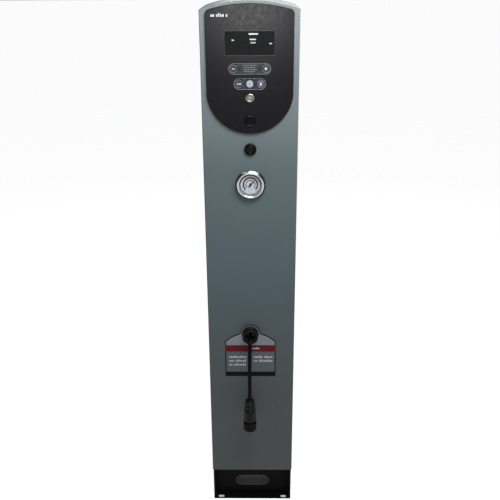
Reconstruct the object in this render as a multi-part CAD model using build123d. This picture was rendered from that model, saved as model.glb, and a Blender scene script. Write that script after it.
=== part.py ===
from build123d import *
import math
import os

# Tyre inflator pedestal. Millimetres, +Z up, +X to the right of a person facing it, front towards -Y.
# The origin is the centre of the four floor slots, on the underside of the base.

# ---------------------------------------------------------------- driving dimensions
WIDTH = 240.0            # column, side to side
DEPTH = 250.0            # column, front to back
SHOULDER = 1440.0        # height of the column's top corners above the floor
ARCH = 20.0              # rise of the arched top over the corners
BASE_H = 110.0           # height of the black base under the column
SHEET = 2.0              # column sheet metal
BEND_R = 3.0             # outside bend radius of the column's corners
RETURN_W = 30.0          # width of the column's rear returns
BOTTOM_T = 3.0           # column bottom plate

BASE_T = 3.0             # base bracket plate
BASE_SIDE_T = 5.0        # base side plate
BASE_W = WIDTH - 4.4     # base, side to side: a shade narrower than the column
BASE_RECESS = 25.0       # base walls stand this far inside the floor flanges
BASE_TOP_RETURN = 24.0   # depth of the brackets' top returns
CABLE_SLOT_W = 105.0     # oblong opening in the base wall
CABLE_SLOT_H = 42.0
CABLE_SLOT_Z = 49.0      # its centre above the floor
FLOOR_SLOT_L = 19.0      # floor fixing slots
FLOOR_SLOT_W = 13.0
FLOOR_PITCH_X = BASE_W - 43.6
FLOOR_EDGE = 9.0         # slot centre to flange edge
BASE_BOLT = 8.0          # column to base bolts
BASE_BOLT_FLATS = 13.0
BASE_BOLT_INSET = 36.5   # from the side of the base

PANEL_W = WIDTH - 28.0   # control panel
PANEL_T = 6.0
PANEL_PEAK = SHOULDER + 14.0    # height of the panel's arched top
PANEL_LOW = SHOULDER - 294.0    # lowest point of its round bottom
PANEL_ROUND_H = 92.0     # height of the round bottom
PANEL_CORNER = 12.0
PANEL_EDGE_R = 1.5
WINDOW_W = 120.0         # display window
WINDOW_H = 56.5
WINDOW_T = 2.0
WINDOW_Z = SHOULDER - 76.25
WINDOW_LEDGE = 4.0
KEY_D = 16.0             # keys and their holes
KEY_CLEAR = 0.4
KEY_FLANGE = 1.6
KEY_FLANGE_T = 2.0       # depth of the flange's pocket in the panel's back
KEY_PROUD = 0.6
KEY_TRAVEL = 0.5
KEY_LOW_Z, KEY_HIGH_Z = SHOULDER - 171.5, SHOULDER - 135.5
KEYS = {"key_minus": (-39.0, KEY_HIGH_Z), "key_plus": (39.0, KEY_HIGH_Z),
        "key_zero": (-26.5, KEY_LOW_Z), "key_start": (0.0, KEY_LOW_Z), "key_mode": (26.5, KEY_LOW_Z)}
CUTOUT_W = WINDOW_W + 30.0      # cut-out in the column behind the display and keys
CUTOUT_LOW, CUTOUT_HIGH = KEY_LOW_Z - 20.5, WINDOW_Z + 38.25
MAT_T = 3.0              # silicone keypad mat
BOARD_T = 1.6
BOARD_GAP = 6.0          # board behind the column's front

LOCK_Z = SHOULDER - 205.0       # key lock in the control panel
LOCK_BARREL_D = 16.0
LOCK_HEAD_D = LOCK_BARREL_D + 6.0
LOCK_HEAD_T = 2.0
LOCK_PLUG_D = 10.0
LOCK_DEPTH = 20.0        # barrel behind the column's front
KEYWAY_W, KEYWAY_H, KEYWAY_DEPTH = 1.8, 7.6, 8.0
CAM_T = 2.4
NUT_T = 5.0              # nuts behind the column's front
BADGE_Z, BADGE_D, BADGE_T = SHOULDER - 261.0, 30.0, 1.2

BUTTON_Z = SHOULDER - 334.8     # push button
BUTTON_BARREL_D = 22.0
BUTTON_BORE_D = BUTTON_BARREL_D + 2.2
BUTTON_CAP_D = BUTTON_BORE_D - 0.8
BUTTON_RING_D = BUTTON_BORE_D + 6.8
BUTTON_STEM_D = 12.0
BUTTON_ROOM_D = 18.0     # room for the spring in the barrel
BUTTON_WELL = 5.5        # depth of the cap's well in the ring
BUTTON_GUIDE_Y = 14.0    # the stem's guide starts this far behind the column's front
BUTTON_BARREL_L = 30.0   # barrel behind the column's front
BUTTON_TRAVEL = 4.0
BUTTON_PROUD = 6.0       # ring in front of the column

GAUGE_Z = SHOULDER - 426.0      # pressure gauge
GAUGE_CASE_D = 63.0
GAUGE_BEZEL_D = GAUGE_CASE_D + 14.0
GAUGE_WALL = 1.5
GAUGE_LENS_T = 1.6
GAUGE_PROUD = 13.0
GAUGE_DEPTH = 30.0       # case behind the column's front
GAUGE_SPINDLE_D = 1.6
GAUGE_STEM_D = 14.0
STUD_D = 4.0             # gauge clamp studs
CLAMP_T = 2.0

OUTLET_X, OUTLET_Z = -3.0, 579.0        # hose outlet
LABEL_W, LABEL_T = 143.0, 0.6
LABEL_LOW, LABEL_SHOULDER = OUTLET_Z - 137.0, OUTLET_Z - 25.0
LABEL_ARCH_R = 29.0
FAIR_FLANGE_D, FAIR_FLANGE_T = 48.0, 3.0
FAIR_LIP_D, FAIR_LIP_R = 44.0, 2.5
FAIR_PROUD = 24.0
FAIR_BORE_D = 16.0
FAIR_THREAD_D = 20.0
FAIR_THREAD_L = 25.0

HOSE_D = 10.0
COUPLER_TOP_D, COUPLER_LOW_D = 24.0, 34.0
COUPLER_CORE_D = 24.0
COUPLER_BORE_D = 12.0
COUPLER_BORE_L = 30.0
COUPLER_L = 97.6         # hose end to the coupler's mouth
SLEEVE_D, SLEEVE_L = 37.0, 27.0
SLEEVE_NECK_D, SLEEVE_NECK_L = 29.0, 10.0      # its neck, which slides into the boot's skirt
SLEEVE_LIP = 3.0         # sleeve below the coupler's mouth
SLEEVE_TRAVEL = 3.5
SLEEVE_GRIPS = 10
BOOT_RINGS, BOOT_RING_PITCH = 3, 11.4
BOOT_SOCKET = 24.0       # depth of the boot's socket over the core

DOOR_GAP = 3.0           # seal space between column and rear door
DOOR_T = 2.0
DOOR_LOW, DOOR_HIGH = BASE_H + 12.0, SHOULDER - 12.0
DOOR_LAP = 24.0          # door over the web above its opening
DOOR_EDGE = 4.0          # door's free edge from the column's side
HINGE_INSET = 17.0       # hinge axis from the column's side
HINGE_END = 90.0         # end hinges from the column's ends
KNUCKLE_D, KNUCKLE_L = 9.0, 20.0
PIN_D = 4.0
LEAF_T = 2.5
RUN_FIT = 0.05           # radial clearance of a pin or plug that turns
SOFT_GAP = 0.3           # clearance of soft or curved neighbours
DOOR_LOCK_INSET = 46.0   # from the door's free edge
DOOR_LOCK_HEAD_T, DOOR_LOCK_DEPTH = 3.0, 8.0
VENT_L, VENT_W, VENT_PITCH, VENT_ROWS = 90.0, 5.0, 14.0, 7
STIFF_DEPTH, STIFF_W, STIFF_FLANGE, STIFF_T = 10.0, 30.0, 11.0, 1.5

PLATE_STANDOFF = 18.0    # air inlet's axis behind the mounting plate's front
PLATE_T = 2.0
PLATE_LOW, PLATE_HIGH = BASE_H + 80.0, SHOULDER - 250.0
TUBE_D = 8.0             # air tube inside the column
INLET_X = -60.0          # air inlet; the mains gland is its mirror image
INLET_FROM_BOLT = 30.0   # in front of the base bolts
INLET_BODY_D, INLET_THREAD_D, INLET_THREAD_L = 17.0, 11.5, 14.0
GLAND_D, GLAND_BORE_D = 20.0, 10.0

# ---------------------------------------------------------------- worked-out places
FRONT = -DEPTH / 2
BACK = DEPTH / 2
HALF = WIDTH / 2
INNER = HALF - SHEET
WALL_BACK = FRONT + SHEET
PANEL_FACE = FRONT - PANEL_T
ARCH_R = (HALF ** 2 + ARCH ** 2) / (2 * ARCH)
ARCH_Z = SHOULDER + ARCH - ARCH_R
RETURN_X = HALF - RETURN_W      # edge of the rear returns
RUN = 2 * RUN_FIT

os.makedirs("parts", exist_ok=True)


def write(name, *solids):
    """One STEP file: a single solid, or a group of separate ones."""
    shape = solids[0] if len(solids) == 1 else Compound(children=list(solids))
    export_step(shape, f"parts/{name}.step")


def block(x0, x1, y0, y1, z0, z1):
    """A box between two corners."""
    return Pos((x0 + x1) / 2, (y0 + y1) / 2, (z0 + z1) / 2) * Box(x1 - x0, y1 - y0, z1 - z0)


def plate(sketch, y_front, y_back):
    """A sketch drawn in X and Z, as a plate between two depths."""
    return Pos(0, y_back, 0) * extrude(Plane.XZ * sketch, amount=y_back - y_front)


def along_y(d, y0, y1, x=0.0, z=0.0):
    return Pos(x, (y0 + y1) / 2, z) * Rot(90, 0, 0) * Cylinder(d / 2, y1 - y0)


def along_z(d, z0, z1, x=0.0, y=0.0):
    return Pos(x, y, (z0 + z1) / 2) * Cylinder(d / 2, z1 - z0)


def along_x(d, x0, x1, y=0.0, z=0.0):
    return Pos((x0 + x1) / 2, y, z) * Rot(0, 90, 0) * Cylinder(d / 2, x1 - x0)


def hex_y(flats, y0, y1, x=0.0, z=0.0):
    """A hexagonal prism along Y, by its size across flats."""
    return Pos(x, 0, z) * plate(RegularPolygon(flats / 2, 6, major_radius=False), y0, y1)


def hex_z(flats, z0, z1, x=0.0, y=0.0):
    return Pos(x, y, z0) * extrude(RegularPolygon(flats / 2, 6, major_radius=False), amount=z1 - z0)


def turned_y(points, x=0.0, z=0.0):
    """A (radius, y) outline turned about a Y axis."""
    return Pos(x, 0, z) * revolve(make_face(Polyline(*points, close=True)), axis=Axis.Y)


def turned_z(points, x=0.0, y=0.0):
    """A (radius, z) outline turned about a Z axis."""
    outline = Polyline(*[(r, 0, z) for r, z in points], close=True)
    return Pos(x, y, 0) * revolve(make_face(outline), axis=Axis.Z)


def slot_y(length, width, y0, y1, x=0.0, z=0.0):
    """An oblong with round ends, long in X, cut along Y."""
    return Pos(x, 0, z) * plate(SlotOverall(length, width), y0, y1)


def coil(d, wire, length, turns):
    """A helical spring along Z from 0 to length."""
    rise = length - wire
    path = Pos(0, 0, wire / 2) * Helix(pitch=rise / turns, height=rise, radius=(d - wire) / 2)
    return sweep(Plane(origin=path @ 0, z_dir=path % 0) * Circle(wire / 2), path=path)


def tube(points, radii, d, name):
    """Straight runs joined by tangent arcs, swept with a round section."""
    path = FilletPolyline(*points, radius=radii)
    solid = sweep(Plane(origin=path @ 0, z_dir=path % 0) * Circle(d / 2), path=path)
    section = math.pi * d * d / 4
    print(f"{name}: length {path.length:.1f}, radii {[round(r, 1) for r in radii]},",
          f"volume ratio {solid.volume / (section * path.length):.4f}")
    return solid


def route_radii(points):
    """Each corner's arc: 0.45 of its shorter run, over the tangent of half the turn."""
    radii = []
    for a, b, c in zip(points, points[1:], points[2:]):
        before, after = Vector(*b) - Vector(*a), Vector(*c) - Vector(*b)
        half_turn = math.radians(before.get_angle(after)) / 2
        radii.append(0.45 * min(before.length, after.length) / math.tan(half_turn))
    return radii


def arch_face(drop, side, low):
    """The column's front outline: straight sides, arched top lowered by drop, sides moved in."""
    edge = HALF - side
    radius = ARCH_R - drop
    shoulder = ARCH_Z + math.sqrt(radius ** 2 - edge ** 2)
    sides = [Line((edge, shoulder), (edge, low)), Line((edge, low), (-edge, low)),
             Line((-edge, low), (-edge, shoulder))]
    top = ThreePointArc((-edge, shoulder), (0, ARCH_Z + radius), (edge, shoulder))
    return make_face(Curve() + sides + [top])


# ---------------------------------------------------------------- column
def column_shell():
    outer = plate(arch_face(SHEET, 0, BASE_H), FRONT, BACK)
    upright = outer.edges().filter_by(Axis.Z).filter_by(lambda e: e.center().Y < 0)
    outer = fillet(upright, BEND_R)
    room = block(-INNER, INNER, WALL_BACK, BACK - SHEET, BASE_H - 1, SHOULDER + ARCH)
    door_way = block(-RETURN_X, RETURN_X, BACK - SHEET - 1, BACK + 1, BASE_H - 1, SHOULDER + ARCH)
    shell = outer - room - door_way
    cuts = block(-CUTOUT_W / 2, CUTOUT_W / 2, FRONT - 1, WALL_BACK + 1, CUTOUT_LOW, CUTOUT_HIGH)
    cuts += along_y(LOCK_BARREL_D, FRONT - 1, WALL_BACK + 1, 0, LOCK_Z)
    cuts += along_y(BUTTON_BARREL_D, FRONT - 1, WALL_BACK + 1, 0, BUTTON_Z)
    cuts += along_y(GAUGE_CASE_D, FRONT - 1, WALL_BACK + 1, 0, GAUGE_Z)
    cuts += along_y(FAIR_THREAD_D, FRONT - 1, WALL_BACK + 1, OUTLET_X, OUTLET_Z)
    return shell - cuts


def top_cover():
    """Arched strip over the column, and the web above the door opening."""
    low = SHOULDER - 100
    strip = plate(arch_face(0, 0, low) - arch_face(SHEET, -1, low - 1), FRONT, BACK)
    web = plate(arch_face(SHEET, RETURN_W, DOOR_HIGH - DOOR_LAP), BACK - SHEET, BACK)
    return strip + web


def bottom_plate():
    body = block(-INNER, INNER, WALL_BACK, BACK - SHEET, BASE_H, BASE_H + BOTTOM_T)
    body += block(-RETURN_X, RETURN_X, BACK - SHEET, BACK, BASE_H, BASE_H + 30)
    body -= block(-45, 45, FRONT + 80, INLET_Y - 23, BASE_H - 1, BASE_H + BOTTOM_T + 1)
    body -= along_z(INLET_BODY_D, BASE_H - 1, BASE_H + BOTTOM_T + 1, INLET_X, INLET_Y)
    body -= along_z(GLAND_D, BASE_H - 1, BASE_H + BOTTOM_T + 1, -INLET_X, INLET_Y)
    for x, y in BOLT_PLACES:
        body -= along_z(BASE_BOLT, BASE_H - 1, BASE_H + BOTTOM_T + 1, x, y)
    return body


# ---------------------------------------------------------------- base
BOLT_X = BASE_W / 2 - BASE_BOLT_INSET
BOLT_Y = DEPTH / 2 - BASE_RECESS - BASE_TOP_RETURN / 2
BOLT_PLACES = [(x, y) for x in (-BOLT_X, BOLT_X) for y in (-BOLT_Y, BOLT_Y)]
BRACKET_X = BASE_W / 2 - BASE_SIDE_T
INLET_Y = BOLT_Y - INLET_FROM_BOLT


def base_bracket():
    """Front wall with its floor flange and the top return that bolts to the column."""
    wall_y = FRONT + BASE_RECESS
    body = block(-BRACKET_X, BRACKET_X, FRONT, wall_y + BASE_T, 0, BASE_T)
    body += block(-BRACKET_X, BRACKET_X, wall_y, wall_y + BASE_T, 0, BASE_H)
    body += block(-BRACKET_X, BRACKET_X, wall_y, wall_y + BASE_TOP_RETURN, BASE_H - BASE_T, BASE_H)
    body -= slot_y(CABLE_SLOT_W, CABLE_SLOT_H, wall_y - 1, wall_y + BASE_T + 1, 0, CABLE_SLOT_Z)
    for x in (-FLOOR_PITCH_X / 2, FLOOR_PITCH_X / 2):
        slot = extrude(SlotOverall(FLOOR_SLOT_L, FLOOR_SLOT_W), amount=BASE_T + 2)
        body -= Pos(x, FRONT + FLOOR_EDGE, -1) * slot
    for x, y in BOLT_PLACES:
        body -= along_z(BASE_BOLT, BASE_H - BASE_T - 1, BASE_H + 1, x, y)
    return body


def base_side_plates():
    right = block(BRACKET_X, BASE_W / 2, FRONT, BACK, 0, BASE_H)
    return right, mirror(right, Plane.YZ)


def base_bolts():
    """Hexagon bolts up through bracket and bottom plate, with a nut on top."""
    bolts = []
    under, top = BASE_H - BASE_T, BASE_H + BOTTOM_T
    for x, y in BOLT_PLACES:
        bolt = hex_z(BASE_BOLT_FLATS, under - 5.5, under, x, y)
        bolt += along_z(BASE_BOLT, under - 1, top + 9, x, y)
        nut = hex_z(BASE_BOLT_FLATS, top, top + 6.5, x, y) - along_z(BASE_BOLT, BASE_H, top + 20, x, y)
        bolts += [bolt, nut]
    return bolts


# ---------------------------------------------------------------- control panel
def panel_outline():
    """Arched top with small round corners, straight sides, half-round bottom."""
    half = PANEL_W / 2
    side_low = PANEL_LOW + PANEL_ROUND_H
    shoulder = ARCH_Z + math.sqrt((PANEL_PEAK - ARCH_Z) ** 2 - half ** 2)
    lines = [Line((half, shoulder), (half, side_low)), Line((-half, side_low), (-half, shoulder))]
    top = ThreePointArc((-half, shoulder), (0, PANEL_PEAK), (half, shoulder))
    low = ThreePointArc((-half, side_low), (0, PANEL_LOW), (half, side_low))
    face = make_face(Curve() + lines + [top, low])
    corners = face.vertices().filter_by(lambda v: v.Y > side_low + 10)
    return fillet(corners, PANEL_CORNER)


def control_panel():
    body = plate(panel_outline(), PANEL_FACE, FRONT)
    rim = body.faces().sort_by(Axis.Y)[0].outer_wire().edges()
    body = fillet(rim, PANEL_EDGE_R)
    body -= block(-WINDOW_W / 2, WINDOW_W / 2, PANEL_FACE - 1, PANEL_FACE + WINDOW_T,
                  WINDOW_Z - WINDOW_H / 2, WINDOW_Z + WINDOW_H / 2)
    body -= block(-WINDOW_W / 2 + WINDOW_LEDGE, WINDOW_W / 2 - WINDOW_LEDGE, PANEL_FACE, FRONT + 1,
                  WINDOW_Z - WINDOW_H / 2 + WINDOW_LEDGE, WINDOW_Z + WINDOW_H / 2 - WINDOW_LEDGE)
    for x, z in KEYS.values():
        body -= along_y(KEY_D + 2 * KEY_CLEAR, PANEL_FACE - 1, FRONT + 1, x, z)
        body -= along_y(KEY_D + 2 * KEY_FLANGE + 2 * KEY_CLEAR, FRONT - KEY_FLANGE_T, FRONT + 1, x, z)
    body -= along_y(LOCK_BARREL_D, PANEL_FACE - 1, FRONT + 1, 0, LOCK_Z)
    return body


def key(x, z):
    """Round cap with a flange behind the panel; it stops just short of the mat at full travel."""
    back = FRONT - KEY_TRAVEL - 0.1
    cap = along_y(KEY_D, PANEL_FACE - KEY_PROUD, back, x, z)
    cap = fillet(cap.edges().sort_by(Axis.Y)[0], 0.5)
    return cap + along_y(KEY_D + 2 * KEY_FLANGE, FRONT - KEY_FLANGE_T, back, x, z)


def display_window():
    return block(-WINDOW_W / 2, WINDOW_W / 2, PANEL_FACE, PANEL_FACE + WINDOW_T,
                 WINDOW_Z - WINDOW_H / 2, WINDOW_Z + WINDOW_H / 2)


BOARD_Y = FRONT + BOARD_GAP
BOARD_BACK = BOARD_Y + BOARD_T
BOARD_X, BOARD_LOW, BOARD_HIGH = CUTOUT_W / 2 - 5, CUTOUT_LOW + 3, CUTOUT_HIGH - 3
POST_PLACES = [(x, z) for x in (-BOARD_X + 5, BOARD_X - 5) for z in (BOARD_LOW + 5, BOARD_HIGH - 5)]
POST_D, POST_SCREW_D = 6.0, 3.2


def display_module():
    """Digit block on the control board, just behind the window."""
    half_w, half_h = WINDOW_W / 2 - WINDOW_LEDGE - 1, WINDOW_H / 2 - WINDOW_LEDGE - 1
    return block(-half_w, half_w, PANEL_FACE + WINDOW_T, BOARD_Y, WINDOW_Z - half_h, WINDOW_Z + half_h)


def control_board():
    """Board with a relay in the middle and a plug socket at each lower corner."""
    body = block(-BOARD_X, BOARD_X, BOARD_Y, BOARD_BACK, BOARD_LOW, BOARD_HIGH)
    for x, z in POST_PLACES:
        body -= along_y(POST_SCREW_D, BOARD_Y - 1, BOARD_BACK + 1, x, z)
    relay_z, socket_z = BOARD_LOW + 84, BOARD_LOW + 17
    body += block(-20, 20, BOARD_BACK, BOARD_BACK + 14, relay_z - 15, relay_z + 15)
    for x in (-44, 44):
        body += block(x - 16, x + 16, BOARD_BACK, BOARD_BACK + 10, socket_z - 6, socket_z + 6)
    return body


def board_posts():
    """Spacers on the panel's back that carry the board, with their screw heads."""
    posts = []
    for x, z in POST_PLACES:
        post = along_y(POST_D, FRONT, BOARD_Y, x, z) + along_y(POST_SCREW_D, BOARD_Y - 1, BOARD_BACK, x, z)
        posts.append(post + along_y(POST_D, BOARD_BACK, BOARD_BACK + 2.4, x, z))
    return posts


def keypad_mat():
    """Silicone mat behind the keys, from the panel's back to the board."""
    body = block(-54, 54, FRONT, FRONT + MAT_T, KEY_LOW_Z - 12, KEY_HIGH_Z + 12)
    for x in (-45, 45):
        for z in (KEY_LOW_Z - 6, KEY_HIGH_Z + 6):
            body += along_y(6, FRONT + MAT_T, BOARD_Y, x, z)
    return body


# ---------------------------------------------------------------- key lock
def lock_body():
    bore, head, barrel = LOCK_PLUG_D / 2 + RUN_FIT, LOCK_HEAD_D / 2, LOCK_BARREL_D / 2
    face, end = PANEL_FACE - LOCK_HEAD_T, FRONT + LOCK_DEPTH
    return turned_y([(bore, face), (head - 1, face), (head, face + 1), (head, PANEL_FACE),
                     (barrel, PANEL_FACE), (barrel, end), (bore, end)], 0, LOCK_Z)


def lock_plug():
    face = PANEL_FACE - LOCK_HEAD_T
    body = along_y(LOCK_PLUG_D, face - 0.2, FRONT + LOCK_DEPTH + 3, 0, LOCK_Z)
    return body - block(-KEYWAY_W / 2, KEYWAY_W / 2, face - 1, face + KEYWAY_DEPTH,
                        LOCK_Z - KEYWAY_H / 2, LOCK_Z + KEYWAY_H / 2)


def lock_cam():
    arm = Pos(0, LOCK_Z - 11) * Rectangle(11, 34) + Pos(0, LOCK_Z) * Circle(8)
    y0 = FRONT + LOCK_DEPTH + SOFT_GAP
    return plate(arm, y0, y0 + 2.3) - along_y(LOCK_PLUG_D, y0 - 1, y0 + 3, 0, LOCK_Z)


# ---------------------------------------------------------------- push button
BUTTON_FACE = FRONT - BUTTON_PROUD
BUTTON_END = FRONT + BUTTON_BARREL_L
CAP_BACK = BUTTON_FACE + BUTTON_WELL - BUTTON_TRAVEL - 0.2


def button_collar():
    """Ring and threaded barrel in one: the cap's well, room for the spring, then the stem's guide."""
    bore, ring, barrel = BUTTON_BORE_D / 2, BUTTON_RING_D / 2, BUTTON_BARREL_D / 2
    room, guide = BUTTON_ROOM_D / 2, BUTTON_STEM_D / 2 + RUN_FIT
    well_y, guide_y = BUTTON_FACE + BUTTON_WELL, FRONT + BUTTON_GUIDE_Y
    return turned_y([(bore, BUTTON_FACE), (ring - 1.5, BUTTON_FACE), (ring, BUTTON_FACE + 1.5), (ring, FRONT),
                     (barrel, FRONT), (barrel, BUTTON_END), (guide, BUTTON_END), (guide, guide_y),
                     (room, guide_y), (room, well_y), (bore, well_y)], 0, BUTTON_Z)


def button_cap():
    """Slightly domed cap on a long guided stem."""
    r, stem = BUTTON_CAP_D / 2, BUTTON_STEM_D / 2
    front, end = BUTTON_FACE - 1.6, BUTTON_END + 1
    return turned_y([(0, front), (r * 0.55, front + 0.25), (r - 1.0, front + 1.0), (r, front + 1.9),
                     (r, CAP_BACK), (stem, CAP_BACK), (stem, end), (0, end)], 0, BUTTON_Z)


def button_spring():
    length = FRONT + BUTTON_GUIDE_Y - CAP_BACK
    return Pos(0, CAP_BACK, BUTTON_Z) * Rot(-90, 0, 0) * coil(BUTTON_ROOM_D - 1, 1.2, length, 5)


def contact_block():
    """Switch block behind the stem, held to the barrel by a clip on each side."""
    y0 = BUTTON_END + 1 + BUTTON_TRAVEL + SOFT_GAP
    r, clip = BUTTON_BARREL_D / 2, 3.0
    body = block(-r - clip, r + clip, y0, y0 + 18, BUTTON_Z - 15, BUTTON_Z + 15)
    for x in (-r - clip, r):
        body += block(x, x + clip, BUTTON_END - 6, y0, BUTTON_Z - 6, BUTTON_Z + 6)
    return body


# ---------------------------------------------------------------- pressure gauge
CASE_R = GAUGE_CASE_D / 2
LENS_Y = FRONT - GAUGE_PROUD + 4.4
DIAL_Y = LENS_Y + 4.6
DIAL_T = 0.8
CASE_BACK = FRONT + GAUGE_DEPTH
MOVEMENT_BACK = CASE_BACK - 14.0
CLAMP_Y = CASE_BACK + 8.0
CLAMP_X = CASE_R + 8.5
STUDS = (-CASE_R + 9.5, CASE_R - 9.5)


def gauge_case():
    inside, hole, front = CASE_R - GAUGE_WALL, GAUGE_STEM_D / 2, LENS_Y + GAUGE_LENS_T
    cup = turned_y([(inside, front), (CASE_R, front), (CASE_R, CASE_BACK), (hole, CASE_BACK),
                    (hole, CASE_BACK - GAUGE_WALL), (inside, CASE_BACK - GAUGE_WALL)], 0, GAUGE_Z)
    for x in STUDS:
        cup += along_y(STUD_D, CASE_BACK - 1, CLAMP_Y + 8, x, GAUGE_Z)
    return cup


def gauge_bezel():
    """Rolled ring over the case's front, with a lip that holds the lens."""
    r, lip = GAUGE_BEZEL_D / 2, CASE_R - 3.0
    y = FRONT - GAUGE_PROUD
    side = [(CASE_R, FRONT), (r - 2.0, FRONT), (r, FRONT - 3.0), (r, y + 5.0), (r - 1.6, y + 2.0)]
    face = [(r - 4.6, y + 0.4), (r - 7.5, y), (lip, y + 2.6), (lip, LENS_Y), (CASE_R, LENS_Y)]
    return turned_y(side + face, 0, GAUGE_Z)


def gauge_lens():
    return along_y(GAUGE_CASE_D - RUN, LENS_Y, LENS_Y + GAUGE_LENS_T, 0, GAUGE_Z)


def gauge_dial():
    disc = along_y(GAUGE_CASE_D - 2 * GAUGE_WALL - 0.2, DIAL_Y, DIAL_Y + DIAL_T, 0, GAUGE_Z)
    return disc - along_y(GAUGE_SPINDLE_D + RUN, DIAL_Y - 1, DIAL_Y + 2, 0, GAUGE_Z)


def gauge_movement():
    """Tube, gears and frame as one block, with the stem and its threaded connection behind."""
    body = block(-15, 15, DIAL_Y + DIAL_T, MOVEMENT_BACK, GAUGE_Z - 13, GAUGE_Z + 13)
    body += along_y(GAUGE_STEM_D, MOVEMENT_BACK - 1, CLAMP_Y, 0, GAUGE_Z)
    body += along_y(GAUGE_STEM_D - 2.6, CLAMP_Y, CLAMP_Y + 14, 0, GAUGE_Z)
    return body - along_y(GAUGE_SPINDLE_D + RUN, DIAL_Y, DIAL_Y + 8, 0, GAUGE_Z)


POINTER_TURN = -42.0     # degrees from straight up, clockwise seen from the front


def gauge_pointer():
    y0, y1 = DIAL_Y - 2.0, DIAL_Y - 1.4
    tip, tail, thick_end = CASE_R - 14.5, 9.0, 10.0
    right = [(0.8, -tail), (1.5, 0), (1.3, thick_end), (0.4, thick_end + 1), (0.3, tip)]
    left = [(-x, z) for x, z in reversed(right)]
    needle = make_face(Polyline(*right, *left, close=True))
    turned = Pos(0, GAUGE_Z) * Rot(0, 0, POINTER_TURN) * needle
    hub = along_y(6.4, y0 - 0.5, y1 + 0.6, 0, GAUGE_Z)
    return plate(turned, y0, y1) + hub + along_y(GAUGE_SPINDLE_D, y1, DIAL_Y + 7.5, 0, GAUGE_Z)


def gauge_clamp():
    """U-shaped strap that pulls the gauge against the column from behind."""
    low, high = GAUGE_Z - 9, GAUGE_Z + 9
    body = block(-CLAMP_X, CLAMP_X, CLAMP_Y, CLAMP_Y + CLAMP_T, low, high)
    for x in (-CLAMP_X, CLAMP_X - CLAMP_T):
        body += block(x, x + CLAMP_T, WALL_BACK, CLAMP_Y + 1, low, high)
    body -= along_y(GAUGE_STEM_D + 1, CLAMP_Y - 1, CLAMP_Y + 3, 0, GAUGE_Z)
    for x in STUDS:
        body -= along_y(STUD_D, CLAMP_Y - 1, CLAMP_Y + 3, x, GAUGE_Z)
    return body


def gauge_nuts():
    y0 = CLAMP_Y + CLAMP_T
    return [hex_y(7, y0, y0 + 3.2, x, GAUGE_Z) - along_y(STUD_D, y0 - 1, y0 + 5, x, GAUGE_Z) for x in STUDS]


# ---------------------------------------------------------------- hose outlet and hose
LABEL_FRONT = FRONT - LABEL_T


def outlet_label():
    half = LABEL_W / 2
    neck = 1.0
    neck_z = OUTLET_Z + neck
    arch = math.sqrt(LABEL_ARCH_R ** 2 - neck ** 2)
    right = [Line((half, LABEL_LOW), (half, LABEL_SHOULDER)),
             ThreePointArc((half, LABEL_SHOULDER), (half - 17, LABEL_SHOULDER + 14.5), (arch, neck_z))]
    left = [mirror(edge, Plane.YZ) for edge in right]
    face = make_face(Curve() + right + left + [Line((-half, LABEL_LOW), (half, LABEL_LOW)),
                     ThreePointArc((-arch, neck_z), (0, OUTLET_Z + LABEL_ARCH_R), (arch, neck_z))])
    hole = along_y(FAIR_THREAD_D, LABEL_FRONT - 1, FRONT + 1, OUTLET_X, OUTLET_Z)
    return Pos(OUTLET_X, 0, 0) * plate(face, LABEL_FRONT, FRONT) - hole


def hose_fairlead():
    """Bell-mouthed outlet ring with a threaded neck through the column."""
    bore, lip = FAIR_BORE_D / 2, FAIR_LIP_D / 2
    y = LABEL_FRONT
    tip = FRONT - FAIR_PROUD
    mouth = lip - 2 * FAIR_LIP_R
    outline = (Curve()
               + Line((bore, FRONT + FAIR_THREAD_L), (FAIR_THREAD_D / 2, FRONT + FAIR_THREAD_L))
               + Line((FAIR_THREAD_D / 2, FRONT + FAIR_THREAD_L), (FAIR_THREAD_D / 2, y))
               + Line((FAIR_THREAD_D / 2, y), (FAIR_FLANGE_D / 2, y))
               + Line((FAIR_FLANGE_D / 2, y), (FAIR_FLANGE_D / 2, y - FAIR_FLANGE_T + 1))
               + Line((FAIR_FLANGE_D / 2, y - FAIR_FLANGE_T + 1), (FAIR_FLANGE_D / 2 - 1, y - FAIR_FLANGE_T))
               + ThreePointArc((FAIR_FLANGE_D / 2 - 1, y - FAIR_FLANGE_T), (lip - 3.2, y - FAIR_FLANGE_T - 6),
                               (lip, tip + FAIR_LIP_R))
               + ThreePointArc((lip, tip + FAIR_LIP_R), (lip - FAIR_LIP_R, tip), (mouth, tip + FAIR_LIP_R))
               + ThreePointArc((mouth, tip + FAIR_LIP_R), (bore + 2.2, tip + 9.5), (bore, y + 1))
               + Line((bore, y + 1), (bore, FRONT + FAIR_THREAD_L)))
    return Pos(OUTLET_X, 0, OUTLET_Z) * revolve(make_face(outline), axis=Axis.Y)


def ring_nuts():
    """The thin nuts behind the column's front: key lock, push button and hose outlet."""
    nuts = []
    threads = ((LOCK_BARREL_D, 0, LOCK_Z, 2.5), (BUTTON_BARREL_D, 0, BUTTON_Z, 3.0),
               (FAIR_THREAD_D, OUTLET_X, OUTLET_Z, 3.5))
    for bore, x, z, rim in threads:
        nut = hex_y(bore + 2 * rim, WALL_BACK, WALL_BACK + NUT_T, x, z)
        nuts.append(nut - along_y(bore, WALL_BACK - 1, WALL_BACK + NUT_T + 1, x, z))
    return nuts


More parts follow.
